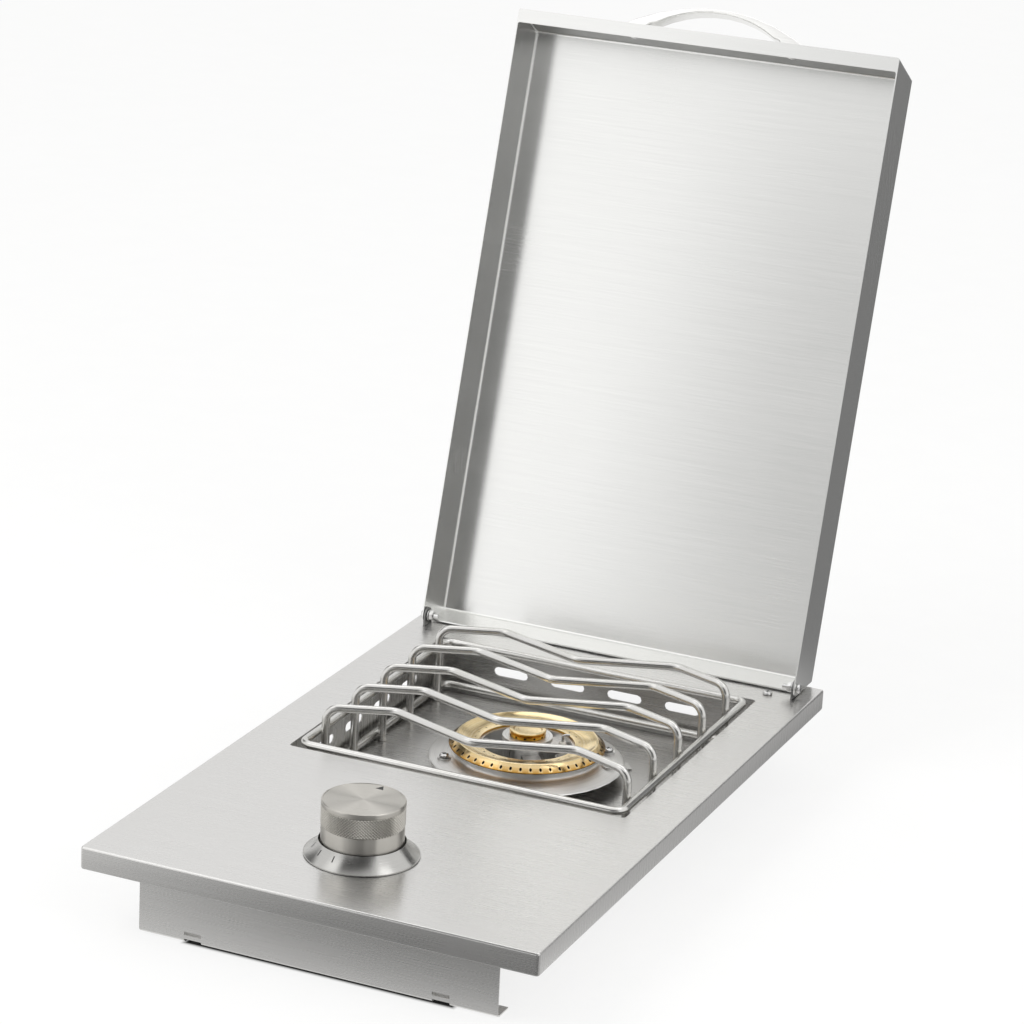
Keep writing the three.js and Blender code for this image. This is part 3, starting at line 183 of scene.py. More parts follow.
class StageSettings(bpy.types.PropertyGroup):
    """Floor, light and camera"""
    floor_colour: colour_property("Floor", "Pale studio floor", "#F2F2F0")
    floor_reach: length_property("Floor reach", "Radius of the floor", 6000)
    white_share: FloatProperty(
        name="White share", description="How much of the floor's own light hides its shading",
        min=0, max=1, default=0.78)
    world_strength: FloatProperty(
        name="World", description="Strength of the even light", min=0, default=0.82)
    key_power: FloatProperty(
        name="Key light", description="Power of the large soft lamp", unit="POWER", min=0, default=26)
    lens: FloatProperty(name="Lens", description="Focal length", subtype="DISTANCE_CAMERA", default=129.87)


SETTINGS = {
    "burner_steel": SteelSettings,
    "burner_knob": KnobSettings,
    "burner_brass": BurnerSettings,
    "burner_stage": StageSettings,
}


# Materials

def add_node(tree, kind, inputs=None, **settings):
    """Adds a shader node, sets it and fills its inputs with values or with other nodes' outputs."""
    node = tree.nodes.new(kind)
    for name, value in settings.items():
        setattr(node, name, value)
    for socket, value in (inputs or {}).items():
        if isinstance(value, bpy.types.NodeSocket):
            tree.links.new(value, node.inputs[socket])
        else:
            node.inputs[socket].default_value = value
    return node


def fresh_tree(owner):
    """The emptied node tree of a material or a world."""
    owner.use_nodes = True
    owner.node_tree.nodes.clear()
    return owner.node_tree


def start_material(name):
    """A material with its tree, its coordinates and its shader, or by itself if it was made before."""
    material = bpy.data.materials.get(name)
    if material:
        return material, None, None, None
    material = bpy.data.materials.new(name)
    tree = fresh_tree(material)
    place = add_node(tree, "ShaderNodeTexCoord")
    shader = add_node(tree, "ShaderNodeBsdfPrincipled")
    add_node(tree, "ShaderNodeOutputMaterial", {"Surface": shader.outputs["BSDF"]})
    return material, tree, place, shader


def lay_finish(tree, shader, colours, shading, grain, gloss, relief, cloud=None):
    """Colours a surface from dark to light by one pattern, and gives it gloss and fine relief by its grain.
    A cloud can unsettle the gloss. Gives back the colour."""
    share = add_node(tree, "ShaderNodeMapRange", {"Value": shading, **NOISE_MIDDLE})
    shade = add_node(tree, "ShaderNodeMix", {
        0: share.outputs[0], 6: colours[0], 7: colours[1]}, data_type="RGBA")
    tree.links.new(shade.outputs[2], shader.inputs["Base Color"])
    rough = add_node(tree, "ShaderNodeMapRange", {
        "Value": grain, **NOISE_MIDDLE, "To Min": gloss[0], "To Max": gloss[1]})
    if cloud is not None:
        drift = add_node(tree, "ShaderNodeMapRange", {
            "Value": cloud, **NOISE_MIDDLE, "To Min": -0.01, "To Max": 0.01})
        rough = add_node(tree, "ShaderNodeMath", {
            0: rough.outputs[0], 1: drift.outputs[0]}, operation="ADD")
    tree.links.new(rough.outputs[0], shader.inputs["Roughness"])
    strength, depth = relief
    bump = add_node(tree, "ShaderNodeBump", {"Height": grain, "Strength": strength, "Distance": depth})
    tree.links.new(bump.outputs["Normal"], shader.inputs["Normal"])
    return shade.outputs[2]


def draw_highlights(tree, shader, direction, anisotropy):
    """Makes a surface metal that draws its highlights out along a direction in the object's own frame."""
    turned = add_node(tree, "ShaderNodeVectorTransform", {"Vector": direction},
                      vector_type="VECTOR", convert_from="OBJECT", convert_to="WORLD")
    tree.links.new(turned.outputs[0], shader.inputs["Tangent"])
    shader.inputs["Metallic"].default_value = 1
    shader.inputs["Anisotropic"].default_value = anisotropy


def brushed_steel(name, colour, streak, across_grain, roughness=None):
    """Stainless sheet ground with a belt along X: fine long scratches spread each highlight across the grain,
    and the scratches turn down the sides that are folded at right angles to them."""
    steel = bpy.context.scene.burner_steel
    material, tree, place, shader = start_material(name)
    if not tree:
        return material
    side = add_node(tree, "ShaderNodeSeparateXYZ", {0: place.outputs["Normal"]})
    size = add_node(tree, "ShaderNodeMath", {0: side.outputs["X"]}, operation="ABSOLUTE")
    turned = add_node(tree, "ShaderNodeMath", {0: size.outputs[0], 1: 0.7}, operation="GREATER_THAN")
    along, across = 1 / steel.streak_length, 1 / steel.streak_width
    scale = add_node(tree, "ShaderNodeMix", {
        0: turned.outputs[0], 4: (along, across, across), 5: (across, across, along),
    }, data_type="VECTOR")
    grain_place = add_node(tree, "ShaderNodeVectorMath", {
        0: place.outputs["Object"], 1: scale.outputs[1]}, operation="MULTIPLY")
    grain = add_node(tree, "ShaderNodeTexNoise", {
        "Vector": grain_place.outputs[0], "Scale": 1, "Detail": 3, "Roughness": 0.65}).outputs["Fac"]
    patches = add_node(tree, "ShaderNodeTexNoise", {
        "Vector": place.outputs["Object"], "Scale": 14, "Detail": 2}).outputs["Fac"]
    base = steel.sheet_roughness if roughness is None else roughness
    lay_finish(tree, shader, (streak, colour), grain, grain, (base - 0.01, base + 0.02),
               (0.03, 0.01 * MM), patches)
    draw_highlights(tree, shader, across_grain, 0.75)
    return material


def turned_metal(name, node, colour, dark, pitch, roughness, anisotropy, depth, side=None):
    """Metal faced on a lathe: rings of fine grooves about a node's axis, which draw highlights into a fan.
    The upright faces can have a colour of their own, which paints light and shade by the way a face points."""
    material, tree, place, shader = start_material(name)
    if not tree:
        return material
    from_axis = add_node(tree, "ShaderNodeVectorMath", {
        0: place.outputs["Object"], 1: middle_of(node)}, operation="SUBTRACT")
    flat = add_node(tree, "ShaderNodeVectorMath", {
        0: from_axis.outputs[0], 1: (1, 1, 0)}, operation="MULTIPLY")
    reach = add_node(tree, "ShaderNodeVectorMath", {0: flat.outputs[0]}, operation="LENGTH")
    ring_place = add_node(tree, "ShaderNodeMath", {
        0: reach.outputs["Value"], 1: 1 / pitch}, operation="MULTIPLY")
    rings = add_node(tree, "ShaderNodeTexNoise", {
        "W": ring_place.outputs[0], "Scale": 1, "Detail": 2, "Roughness": 0.6,
    }, noise_dimensions="1D").outputs["Fac"]
    cloud = add_node(tree, "ShaderNodeTexNoise", {
        "Vector": place.outputs["Object"], "Scale": 60, "Detail": 3}).outputs["Fac"]
    shade = lay_finish(tree, shader, (dark, colour), rings, rings, (roughness - 0.02, roughness + 0.03),
                       (0.4, depth), cloud)
    # Painted light: faces that lie flat keep the paler colour and upright faces take the darker side colour
    if side:
        facing = add_node(tree, "ShaderNodeSeparateXYZ", {0: place.outputs["Normal"]})
        lying = add_node(tree, "ShaderNodeMapRange", {
            "Value": facing.outputs["Z"], "From Min": 0.6, "From Max": 0.8})
        both = add_node(tree, "ShaderNodeMix", {0: lying.outputs[0], 6: side, 7: shade}, data_type="RGBA")
        tree.links.new(both.outputs[2], shader.inputs["Base Color"])
    outward = add_node(tree, "ShaderNodeVectorMath", {0: flat.outputs[0]}, operation="NORMALIZE")
    fan = add_node(tree, "ShaderNodeVectorMath", {0: outward.outputs[0], 1: (0, 0, -0.3)}, operation="ADD")
    draw_highlights(tree, shader, fan.outputs[0], anisotropy)
    return material


def grained_metal(name, colour, dark, grain_size, roughness, depth, metallic=1):
    """Metal with an even fine grain, as cast, plated or drawn: soft highlights with a little cloudiness."""
    material, tree, place, shader = start_material(name)
    if not tree:
        return material
    grain = add_node(tree, "ShaderNodeTexNoise", {
        "Vector": place.outputs["Object"], "Scale": 1 / grain_size, "Detail": 3, "Roughness": 0.6})
    cloud = add_node(tree, "ShaderNodeTexNoise", {
        "Vector": place.outputs["Object"], "Scale": 45, "Detail": 2})
    lay_finish(tree, shader, (dark, colour), cloud.outputs["Fac"], grain.outputs["Fac"],
               (roughness - 0.02, roughness + 0.02), (0.3, depth))
    shader.inputs["Metallic"].default_value = metallic
    return material


def sheet_steel():
    # Stainless sheet, belt ground along X and then folded: silky, with long fine streaks
    steel = bpy.context.scene.burner_steel
    return brushed_steel("belt_ground_stainless", steel.sheet_colour, steel.streak_colour, FLAT_GRAIN)


def tub_steel():
    # The same sheet folded into the tub, its colour darkened as painted shade for the hollow it forms
    steel = bpy.context.scene.burner_steel
    return brushed_steel("belt_ground_stainless_tub", steel.tub_painted_shade_colour, linear("#C4C3C1"), FLAT_GRAIN)


def lid_steel():
    # The same sheet on the open lid, where the grain crosses the lid from side to side
    steel = bpy.context.scene.burner_steel
    return brushed_steel(
        "belt_ground_stainless_lid", steel.inner_colour, linear("#E9E9E7"), UPRIGHT_GRAIN, 0.25)


def lid_wall_painted_shade():
    # Painted shade for the inside of the lid's front wall, which lies in the lid's own shade: dull and dark
    # grey
    return grained_metal("painted_shade_lid_wall", linear("#A9A9A8"), linear("#9F9F9E"), 2 * MM, 0.4, 0.001 * MM)


def handle_steel():
    # Polished stainless bar with a faint grain left along it
    steel = bpy.context.scene.burner_steel
    return brushed_steel("polished_stainless", steel.inner_colour, steel.sheet_colour, UPRIGHT_GRAIN, 0.2)


def wire_steel():
    # Drawn stainless wire, electropolished to a satin shine
    steel = bpy.context.scene.burner_steel
    return grained_metal(
        "electropolished_wire", steel.wire_colour, steel.streak_colour, 3 * MM, 0.24, 0.0005 * MM)


def screw_steel():
    # Bright zinc plate over cold-formed steel
    steel = bpy.context.scene.burner_steel
    return grained_metal(
        "bright_zinc_plate", steel.screw_colour, steel.streak_colour, 0.8 * MM, 0.2, 0.002 * MM)


def hinge_steel():
    # Pressed steel with a dull zinc plate, greyer than the sheet beside it, and darkened further as painted
    # shade for the shadow round the ears
    steel = bpy.context.scene.burner_steel
    return grained_metal(
        "dull_zinc_and_painted_shade", steel.hinge_and_painted_shade_colour, linear("#747473"), 1.2 * MM, 0.3, 0.002 * MM)


def recess_shade():
    # Painted shade for steel deep in a punched recess or slot: dark grey and dull
    return grained_metal("painted_recess_shade", linear("#3A3A3B"), linear("#2C2C2D"), 0.5 * MM, 0.5, 0.002 * MM)


def satin_nickel():
    # Satin nickel plate over a turned body, with the lathe's rings left on the flat top
    knob = bpy.context.scene.burner_knob
    return turned_metal("satin_nickel_plate", "control_knob", knob.colour, linear("#C1BEB7"),
                        0.5 * MM, 0.3, 0.97, 0.002 * MM)


def bezel_steel():
    # Stainless cone, spun and then brushed around its axis
    knob = bpy.context.scene.burner_knob
    return turned_metal("brushed_cone", "knob_bezel", knob.bezel_colour, linear("#BBBAB7"),
                        0.4 * MM, 0.24, 0.97, 0.003 * MM)


def machined_aluminium():
    # Die-cast aluminium faced on a lathe: pale, with broad soft rings
    burner = bpy.context.scene.burner_brass
    return turned_metal("faced_cast_aluminium", "burner_ring", burner.casting_colour, linear("#E0DFDD"),
                        1.1 * MM, 0.36, 0.7, 0.004 * MM)


def turned_brass():
    # Forged brass, turned bright and left bare: warm gold with fine rings from the tool, paled as painted
    # sheen where it lies flat and deepened as painted shade on its upright ported bands
    burner = bpy.context.scene.burner_brass
    return turned_metal("turned_brass", "burner_ring", burner.brass_and_painted_sheen_colour, linear("#E9CF9A"),
                        1.2 * MM, 0.16, 0.6, 0.003 * MM, burner.band_painted_shade_colour)


def forged_brass():
    # Forged and tumbled brass of the valve and its fittings
    return grained_metal("forged_brass", linear("#C9A153"), linear("#B58C42"), 1 * MM, 0.34, 0.03 * MM)


def port_painted_shade():
    # Painted shade inside a drilled flame port: near black
    return grained_metal("port_shadow", linear("#14110D"), linear("#0B0908"), 1 * MM, 0.7, 0.01 * MM, 0)


def black_ink():
    # Pad-printed epoxy ink
    knob = bpy.context.scene.burner_knob
    return grained_metal("printed_ink", knob.ink_colour, linear("#202020"), 0.6 * MM, 0.45, 0.005 * MM, 0)


def glazed_ceramic():
    # Sintered alumina with a thin clear glaze: off-white, faintly mottled and glossy
    return grained_metal("glazed_alumina", linear("#E6E2DA"), linear("#D8D3C9"), 1.4 * MM, 0.22, 0.01 * MM, 0)


# Mesh building

def mesh_object(name, bm):
    """Turns a bmesh into an object of the scene."""
    mesh = bpy.data.meshes.new(name)
    bm.to_mesh(mesh)
    bm.free()
    thing = bpy.data.objects.new(name, mesh)
    bpy.context.scene.collection.objects.link(thing)
    return thing


def discard(thing):
    """Removes an object with its mesh."""
    mesh = thing.data
    bpy.data.objects.remove(thing)
    bpy.data.meshes.remove(mesh)


def add_piece(bm, name, material, body, replaces=(), smooth=35):
    """Makes a finished piece from a bmesh, smooth up to an angle in degrees, and lets it ride on its body."""
    piece = mesh_object(name, bm)
    piece.data.materials.append(material)
    if smooth:
        piece.data.shade_smooth()
        piece.data.set_sharp_from_angle(angle=math.radians(smooth))
    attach(piece, body)
    if replaces:
        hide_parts(*replaces)
    return piece


def chain(bm, points):
    """Joins points in the XZ half plane with edges and returns what was made."""
    verts = [bm.verts.new((x, 0, z)) for x, z in points]
    edges = [bm.edges.new(pair) for pair in zip(verts, verts[1:])]
    return verts + edges


def revolve(bm, points, centre, segments, closed=False):
    """Spins an outline of radius and height pairs all the way round a vertical axis through a centre."""
    made = chain(bm, points + points[:1] if closed else points)
    axis = Vector((centre[0], centre[1], 0))
    bmesh.ops.translate(bm, verts=[v for v in made if isinstance(v, bmesh.types.BMVert)], vec=axis)
    bmesh.ops.spin(bm, geom=made, cent=axis, axis=(0, 0, 1), angle=FULL_TURN, steps=segments, use_merge=True)
    bmesh.ops.remove_doubles(bm, verts=bm.verts, dist=MERGE_DISTANCE)
    bmesh.ops.recalc_face_normals(bm, faces=bm.faces)


def arc_points(centre, radius, start, end, steps):
    """Radius and height pairs on an arc, its angles in degrees from the outward direction."""
    angles = [math.radians(start + (end - start) * i / steps) for i in range(steps + 1)]
    return [(centre[0] + radius * math.cos(a), centre[1] + radius * math.sin(a)) for a in angles]


def bow(start, pull, end, t):
    """The place at a share of the way along a curve that is pulled towards a point."""
    return start * (1 - t) ** 2 + pull * 2 * t * (1 - t) + end * t ** 2


def rounded_outline(points, radius, steps=4):
    """An open outline with each inner corner turned into an arc-like curve of the given reach."""
    made = [points[0]]
    for before, corner, after in zip(points, points[1:], points[2:]):
        at = Vector(corner)
        inward, outward = Vector(before) - at, Vector(after) - at
        reach = min(radius, inward.length / 2, outward.length / 2)
        start, end = at + inward.normalized() * reach, at + outward.normalized() * reach
        made += [tuple(bow(start, at, end, i / steps)) for i in range(steps + 1)]
    return made + [points[-1]]


def sweep_wire(bm, corners, radii, radius, sides=16, closed=False):
    """Bends round wire through corners: its ring is pushed along each run and spun round each bend."""
    count = len(corners)
    stations = []
    for i, corner in enumerate(corners):
        if not closed and i in (0, count - 1):
            stations.append((corner, None))
            continue
        back = (corners[i - 1] - corner).normalized()
        on = (corners[(i + 1) % count] - corner).normalized()
        opening = back.angle(on)
        reach = radii[i] / math.tan(opening / 2)
        centre = corner + (back + on).normalized() * radii[i] / math.sin(opening / 2)
        axis = back.cross(on).normalized() * -1
        stations.append((corner + back * reach, (centre, axis, math.pi - opening)))
    first = (corners[0] + corners[1]) / 2 if closed else corners[0]
    turn = (corners[1] - corners[0]).normalized().to_track_quat("Z", "Y").to_matrix().to_4x4()
    ring = bmesh.ops.create_circle(
        bm, cap_ends=False, segments=sides, radius=radius, matrix=Matrix.Translation(first) @ turn)
    start_edges = list({e for v in ring["verts"] for e in v.link_edges})
    loop, here = start_edges, first
    for target, bend in stations[1:] + (stations[:1] if closed else []):
        grown = bmesh.ops.extrude_edge_only(bm, edges=loop)["geom"]
        verts = [g for g in grown if isinstance(g, bmesh.types.BMVert)]
        bmesh.ops.translate(bm, verts=verts, vec=target - here)
        loop, here = [g for g in grown if isinstance(g, bmesh.types.BMEdge)], target
        if bend:
            centre, axis, angle = bend
            steps = max(2, round(math.degrees(angle) / DEGREES_PER_STEP))
            ends = {v for e in loop for v in e.verts}
            spun = bmesh.ops.spin(
                bm, geom=loop + list(ends), cent=centre, axis=axis, angle=angle, steps=steps, use_merge=False)
            loop = [g for g in spun["geom_last"] if isinstance(g, bmesh.types.BMEdge)]
            here = centre + Matrix.Rotation(angle, 3, axis) @ (here - centre)
    if closed:
        bmesh.ops.bridge_loops(bm, edges=loop + start_edges)
    else:
        for rim in (start_edges, loop):
            bmesh.ops.edgeloop_fill(bm, edges=rim)
    bmesh.ops.recalc_face_normals(bm, faces=bm.faces)


def cut_with(piece, cutter_bm, lining):
    """Takes a cutter's volume out of a piece for good, and lines what it opened with a material: a painted
    shade in each use here.
    """
    piece.data.materials.append(lining)
    for face in cutter_bm.faces:
        face.material_index = 1
    cutter = mesh_object("cutter", cutter_bm)
    modifier = piece.modifiers.new("Cut", "BOOLEAN")
    modifier.object = cutter
    modifier.operation = "DIFFERENCE"
    modifier.solver = "EXACT"
    modifier.use_self = True
    apply_modifiers(piece)
    discard(cutter)
    if not piece.data.polygons:
        raise RuntimeError(piece.name + " was cut away whole")


def apply_modifiers(piece):
    bpy.context.view_layer.update()
    old = piece.data
    shaped = bpy.data.meshes.new_from_object(piece.evaluated_get(bpy.context.evaluated_depsgraph_get()))
    shaped.name = old.name
    piece.modifiers.clear()
    piece.data = shaped
    bpy.data.meshes.remove(old)


def round_bends(bm, reach):
    """Rounds the inner line of each fold between broad faces."""
    narrowest, sharpest = 8 * MM, -1
    folds = [edge for edge in bm.edges
             if len(edge.link_faces) == 2 and edge.calc_face_angle_signed(0) < sharpest
             and min(face.calc_area() for face in edge.link_faces) > narrowest * edge.calc_length()]
    bmesh.ops.bevel(bm, geom=folds, offset=reach, affect="EDGES", segments=3, profile=0.5, material=-1)


def dressed_copy(node, material, edge_round, smooth=50, bend=0, cutter=None):
    """Stands a merged, softened copy of a CAD node in its place, its folds rounded on request."""
    source = frame["nodes"][node]
    bm = bmesh.new()
    bm.from_mesh(source.data)
    bmesh.ops.remove_doubles(bm, verts=bm.verts, dist=MERGE_DISTANCE)
    bmesh.ops.dissolve_limit(bm, angle_limit=math.radians(0.5), verts=bm.verts, edges=bm.edges)
    if bend:
        round_bends(bm, bend)
    piece = add_piece(bm, node + "_finish", material, source["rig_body"], [node], smooth)
    if cutter:
        # The cut is lined with painted shade
        cut_with(piece, cutter, recess_shade())
    if edge_round:
        bevel = piece.modifiers.new("Soft edges", "BEVEL")
        bevel.width = edge_round
        bevel.segments = 2
        bevel.limit_method = "ANGLE"
        bevel.angle_limit = math.radians(55)
        bevel.use_clamp_overlap = True
    weighted = piece.modifiers.new("Flat faces", "WEIGHTED_NORMAL")
    weighted.keep_sharp = True
    weighted.weight = 80
    return piece


def screw_head(bm, at, axis, radius, height, shank, length):
    """A cross-recessed pan head on a short round shank, its seat at a place and its top along an axis."""
    turn = Vector(axis).normalized().to_track_quat("Z", "Y").to_matrix().to_4x4()
    outline = [(0, -length), (shank, -length), (shank, 0), (radius * 0.88, 0), (radius, height * 0.2),
               (radius, height * 0.35)]
    dome = ((0.97, 0.35), (0.88, 0.65), (0.7, 0.88), (0.4, 0.98), (0, 1))
    made = bmesh.new()
    revolve(made, outline + [(radius * c, height * (0.35 + 0.65 * s)) for c, s in dome], (0, 0), 24)
    head = mesh_object("screw", made)
    head.data.materials.append(None)
    cross = bmesh.new()
    for quarter in (0, 1):
        bar = bmesh.ops.create_cube(cross, size=1)["verts"]
        bmesh.ops.scale(cross, verts=bar, vec=(radius * 1.15, radius * 0.24, height))
        bmesh.ops.rotate(cross, verts=bar, matrix=Matrix.Rotation(quarter * RIGHT_ANGLE, 3, "Z"))
        bmesh.ops.translate(cross, verts=bar, vec=(0, 0, height))
    # The cross recess is lined with painted shade
    cut_with(head, cross, recess_shade())
    head.data.transform(Matrix.Translation(Vector(at)) @ turn)
    bm.from_mesh(head.data)
    discard(head)


# Operators: one for each piece or group of like pieces

class DressSheets(bpy.types.Operator):
    """Finish the top panel, the tub, the apron and the brackets in brushed sheet"""
    bl_idname = "side_burner.dress_sheets"
    bl_label = "Dress Sheets"

    slot_length: length_property("Slot length", "Length of the apron's lower slots", 12.5)
    slot_height: length_property("Slot height", "Height of the apron's lower slots", 2.6)
    slot_inset: length_property("Slot inset", "From the apron's end to the middle of a slot", 40.2)
    slot_reach: length_property("Slot reach", "Twice the depth that a lower slot runs back", 16)

    def execute(self, context):
        steel = context.scene.burner_steel
        for node in ("top_panel", "burner_bracket_left", "burner_bracket_right"):
            dressed_copy(node, sheet_steel(), steel.edge_round)
        dressed_copy("burner_tub", tub_steel(), steel.edge_round)
        # The apron's lower slots are lined with painted shade
        dressed_copy("front_apron", sheet_steel(), steel.edge_round, cutter=self.slots())
        for node in ("hinge_bracket_left", "hinge_bracket_right"):
            dressed_copy(node, hinge_steel(), steel.edge_round)
        return {"FINISHED"}

    def slots(self):
        """The cutter of the apron's lower slots, which run back through its foot."""
        low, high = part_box("front_apron")
        bm = bmesh.new()
        for end, side in ((low.x, 1), (high.x, -1)):
            bar = bmesh.ops.create_cube(bm, size=1)["verts"]
            bmesh.ops.scale(bm, verts=bar, vec=(self.slot_length, self.slot_reach, 2 * self.slot_height))
            bmesh.ops.translate(bm, verts=bar, vec=(end + side * self.slot_inset, low.y, low.z))
        return bm


class DressLid(bpy.types.Operator):
    """Finish the lid's tray"""
    bl_idname = "side_burner.dress_lid"
    bl_label = "Dress Lid"

    def execute(self, context):
        steel = context.scene.burner_steel
        piece = dressed_copy("lid_shell", lid_steel(), steel.edge_round, bend=steel.bend)
        # The inside of the lid's front wall gets a second material, a painted shade
        piece.data.materials.append(lid_wall_painted_shade())
        for face in piece.data.polygons:
            if face.normal.z < -0.7 and face.normal.y < -0.3:  # inside the front wall of the open lid
                face.material_index = 1
        return {"FINISHED"}


class DressHandle(bpy.types.Operator):
    """Finish the bow handle"""
    bl_idname = "side_burner.dress_handle"
    bl_label = "Dress Handle"

    def execute(self, context):
        dressed_copy("lid_handle", handle_steel(), 0)
        return {"FINISHED"}


class BendGrate(bpy.types.Operator):
    """Bend the five bars and the two frames of the grate from round wire"""
    bl_idname = "side_burner.bend_grate"
    bl_label = "Bend Grate"

    wire_radius: length_property("Wire radius", "Half the wire's thickness", 3)
    leg_bend: length_property("Leg bend", "Radius at the top of a leg", 9.5)
    kink_bend: length_property("Kink bend", "Radius of a kink in a bar", 14)
    frame_corner: length_property("Frame corner", "Radius of a frame's corner", 8)
    kink_spread: length_property("Kink spread", "From the middle to a bar's outer kinks", 70)
    kink_back: length_property("Outer kinks", "How far the outer kinks lie to the back", 18.4)
    kink_front: length_property("Middle kink", "How far the middle kink lies to the front", 7.8)

    def execute(self, context):
        r = self.wire_radius
        for name in ("grate_upper_frame", "grate_lower_frame"):
            low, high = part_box(name)
            left, right, front, back = low.x + r, high.x - r, low.y + r, high.y - r
            corners = [Vector((x, y, (low.z + high.z) / 2)) for x, y in (
                (right, front), (right, back), (left, back), (left, front))]
            self.bend(name, corners, [self.frame_corner] * 4, closed=True)
        for i in range(1, 6):
            name = f"grate_bar_{i}"
            low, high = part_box(name)
            leg_x, top, foot = high.x - r, high.z - r, low.z
            leg_y = high.y - r - self.outer_kink_reach(leg_x)
            half = [(leg_x, leg_y, foot), (leg_x, leg_y, top),
                    (self.kink_spread, leg_y + self.kink_back, top)]
            mirrored = [(-x, y, z) for x, y, z in reversed(half)]
            corners = [Vector(c) for c in half + [(0, leg_y - self.kink_front, top)] + mirrored]
            self.bend(name, corners, [0, self.leg_bend] + [self.kink_bend] * 3 + [self.leg_bend, 0])
        return {"FINISHED"}

    def bend(self, name, corners, radii, closed=False):
        bm = bmesh.new()
        sweep_wire(bm, corners, radii, self.wire_radius, closed=closed)
        add_piece(bm, name + "_wire", wire_steel(), "root", [name])

    def outer_kink_reach(self, leg_x):
        """How far the wire's middle line gets behind the legs where the outer kink is rounded off."""
        outer = Vector((leg_x - self.kink_spread, -self.kink_back, 0)).normalized()
        inner = Vector((-self.kink_spread, -self.kink_back - self.kink_front, 0)).normalized()
        opening = outer.angle(inner)
        centre = (outer + inner).normalized() * self.kink_bend / math.sin(opening / 2)
        return self.kink_back + centre.y + self.kink_bend


class TurnKnob(bpy.types.Operator):
    """Turn the knob with its knurled band and set its pointer"""
    bl_idname = "side_burner.turn_knob"
    bl_label = "Turn Knob"

    top_sink = 0.25 * MM

    def execute(self, context):
        knob = context.scene.burner_knob
        low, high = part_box("control_knob")
        centre = middle_of("control_knob")
        radius, top, foot = size_of("control_knob").x / 2, high.z, low.z
        face = top - self.top_sink
        rim_foot = top - knob.rim_height
        knurl_foot = rim_foot - knob.knurl_height
        groove_radius, groove_top, groove_foot = (
            radius - knob.groove, rim_foot - knob.groove, knurl_foot + knob.groove)
        foot_radius, foot_round, wall, crown = radius - 0.3 * MM, 0.8 * MM, 3.2 * MM, 5 * MM
        hollow = foot_radius - wall
        boss, boss_foot = 7.5 * MM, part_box("stem_collar")[1].z + 0.1 * MM
        body = [(0, face), (radius * 0.955, face), (radius * 0.96, top)]
        body += arc_points((radius - knob.chamfer, top - knob.chamfer), knob.chamfer, 90, 0, 5)
        body += [(radius, rim_foot), (groove_radius, groove_top)]
        lower = [(groove_radius, groove_foot), (foot_radius, knurl_foot)]
        lower += arc_points((foot_radius - foot_round, foot + foot_round), foot_round, 0, -90, 4)
        lower += [(hollow, foot), (hollow, top - crown), (boss, top - crown)]
        lower += [(boss, boss_foot), (0, boss_foot)]
        bm = bmesh.new()
        revolve(bm, body, centre, 2 * knob.knurl_count)
        revolve(bm, lower, centre, 2 * knob.knurl_count)
        self.knurl(bm, centre, radius, groove_top, groove_foot)
        bmesh.ops.remove_doubles(bm, verts=bm.verts, dist=MERGE_DISTANCE)
        add_piece(bm, "control_knob_turned", satin_nickel(), "knob", ["control_knob"], 25)
        self.pointer(centre, radius, top)
        for node in ("valve_stem", "stem_collar"):
            dressed_copy(node, screw_steel(), 0)
        return {"FINISHED"}

    def knurl(self, bm, centre, radius, top, foot):
        """Spins a straight chain and pushes every other corner in, which leaves crossed grooves."""
        knob = bpy.context.scene.burner_knob
        columns = 2 * knob.knurl_count
        rows = 2 * round((top - foot) / (FULL_TURN * radius / columns) / 2)
        inner = radius - knob.groove
        band = bmesh.new()
        points = [(inner, top + (foot - top) * i / rows) for i in range(rows + 1)]
        revolve(band, points, centre, columns)
        for vert in band.verts:
            arm = Vector((vert.co.x - centre.x, vert.co.y - centre.y, 0))
            column = round(math.atan2(arm.y, arm.x) / FULL_TURN * columns)
            row = round((top - vert.co.z) / (top - foot) * rows)
            if 0 < row < rows:
                grown = radius - (knob.knurl_depth if (column + row) % 2 else 0)
                vert.co += arm.normalized() * (grown - inner)
        bmesh.ops.triangulate(band, faces=band.faces, quad_method="SHORT_EDGE")
        scratch = mesh_object("knurl", band)
        bm.from_mesh(scratch.data)
        discard(scratch)

    def pointer(self, centre, radius, top):
        """A small triangle near the back edge of the knob's top, its tip outward."""
        knob = bpy.context.scene.burner_knob
        thickness = 0.08 * MM
        inner, half = radius * 0.73, knob.pointer_width / 2
        bm = bmesh.new()
        spots = ((-half, inner), (half, inner), (0, inner + knob.pointer_length))
        face = bm.faces.new([bm.verts.new((x, y, top - self.top_sink)) for x, y in spots])
        place = Matrix.Translation((centre.x, centre.y, 0)) @ Matrix.Rotation(knob.pointer_turn, 4, "Z")
        bmesh.ops.transform(bm, matrix=place, verts=bm.verts)
        grown = bmesh.ops.extrude_face_region(bm, geom=[face])["geom"]
        upper = [g for g in grown if isinstance(g, bmesh.types.BMVert)]
        bmesh.ops.translate(bm, verts=upper, vec=(0, 0, thickness))
        bmesh.ops.recalc_face_normals(bm, faces=bm.faces)
        add_piece(bm, "knob_pointer", black_ink(), "knob", smooth=0)


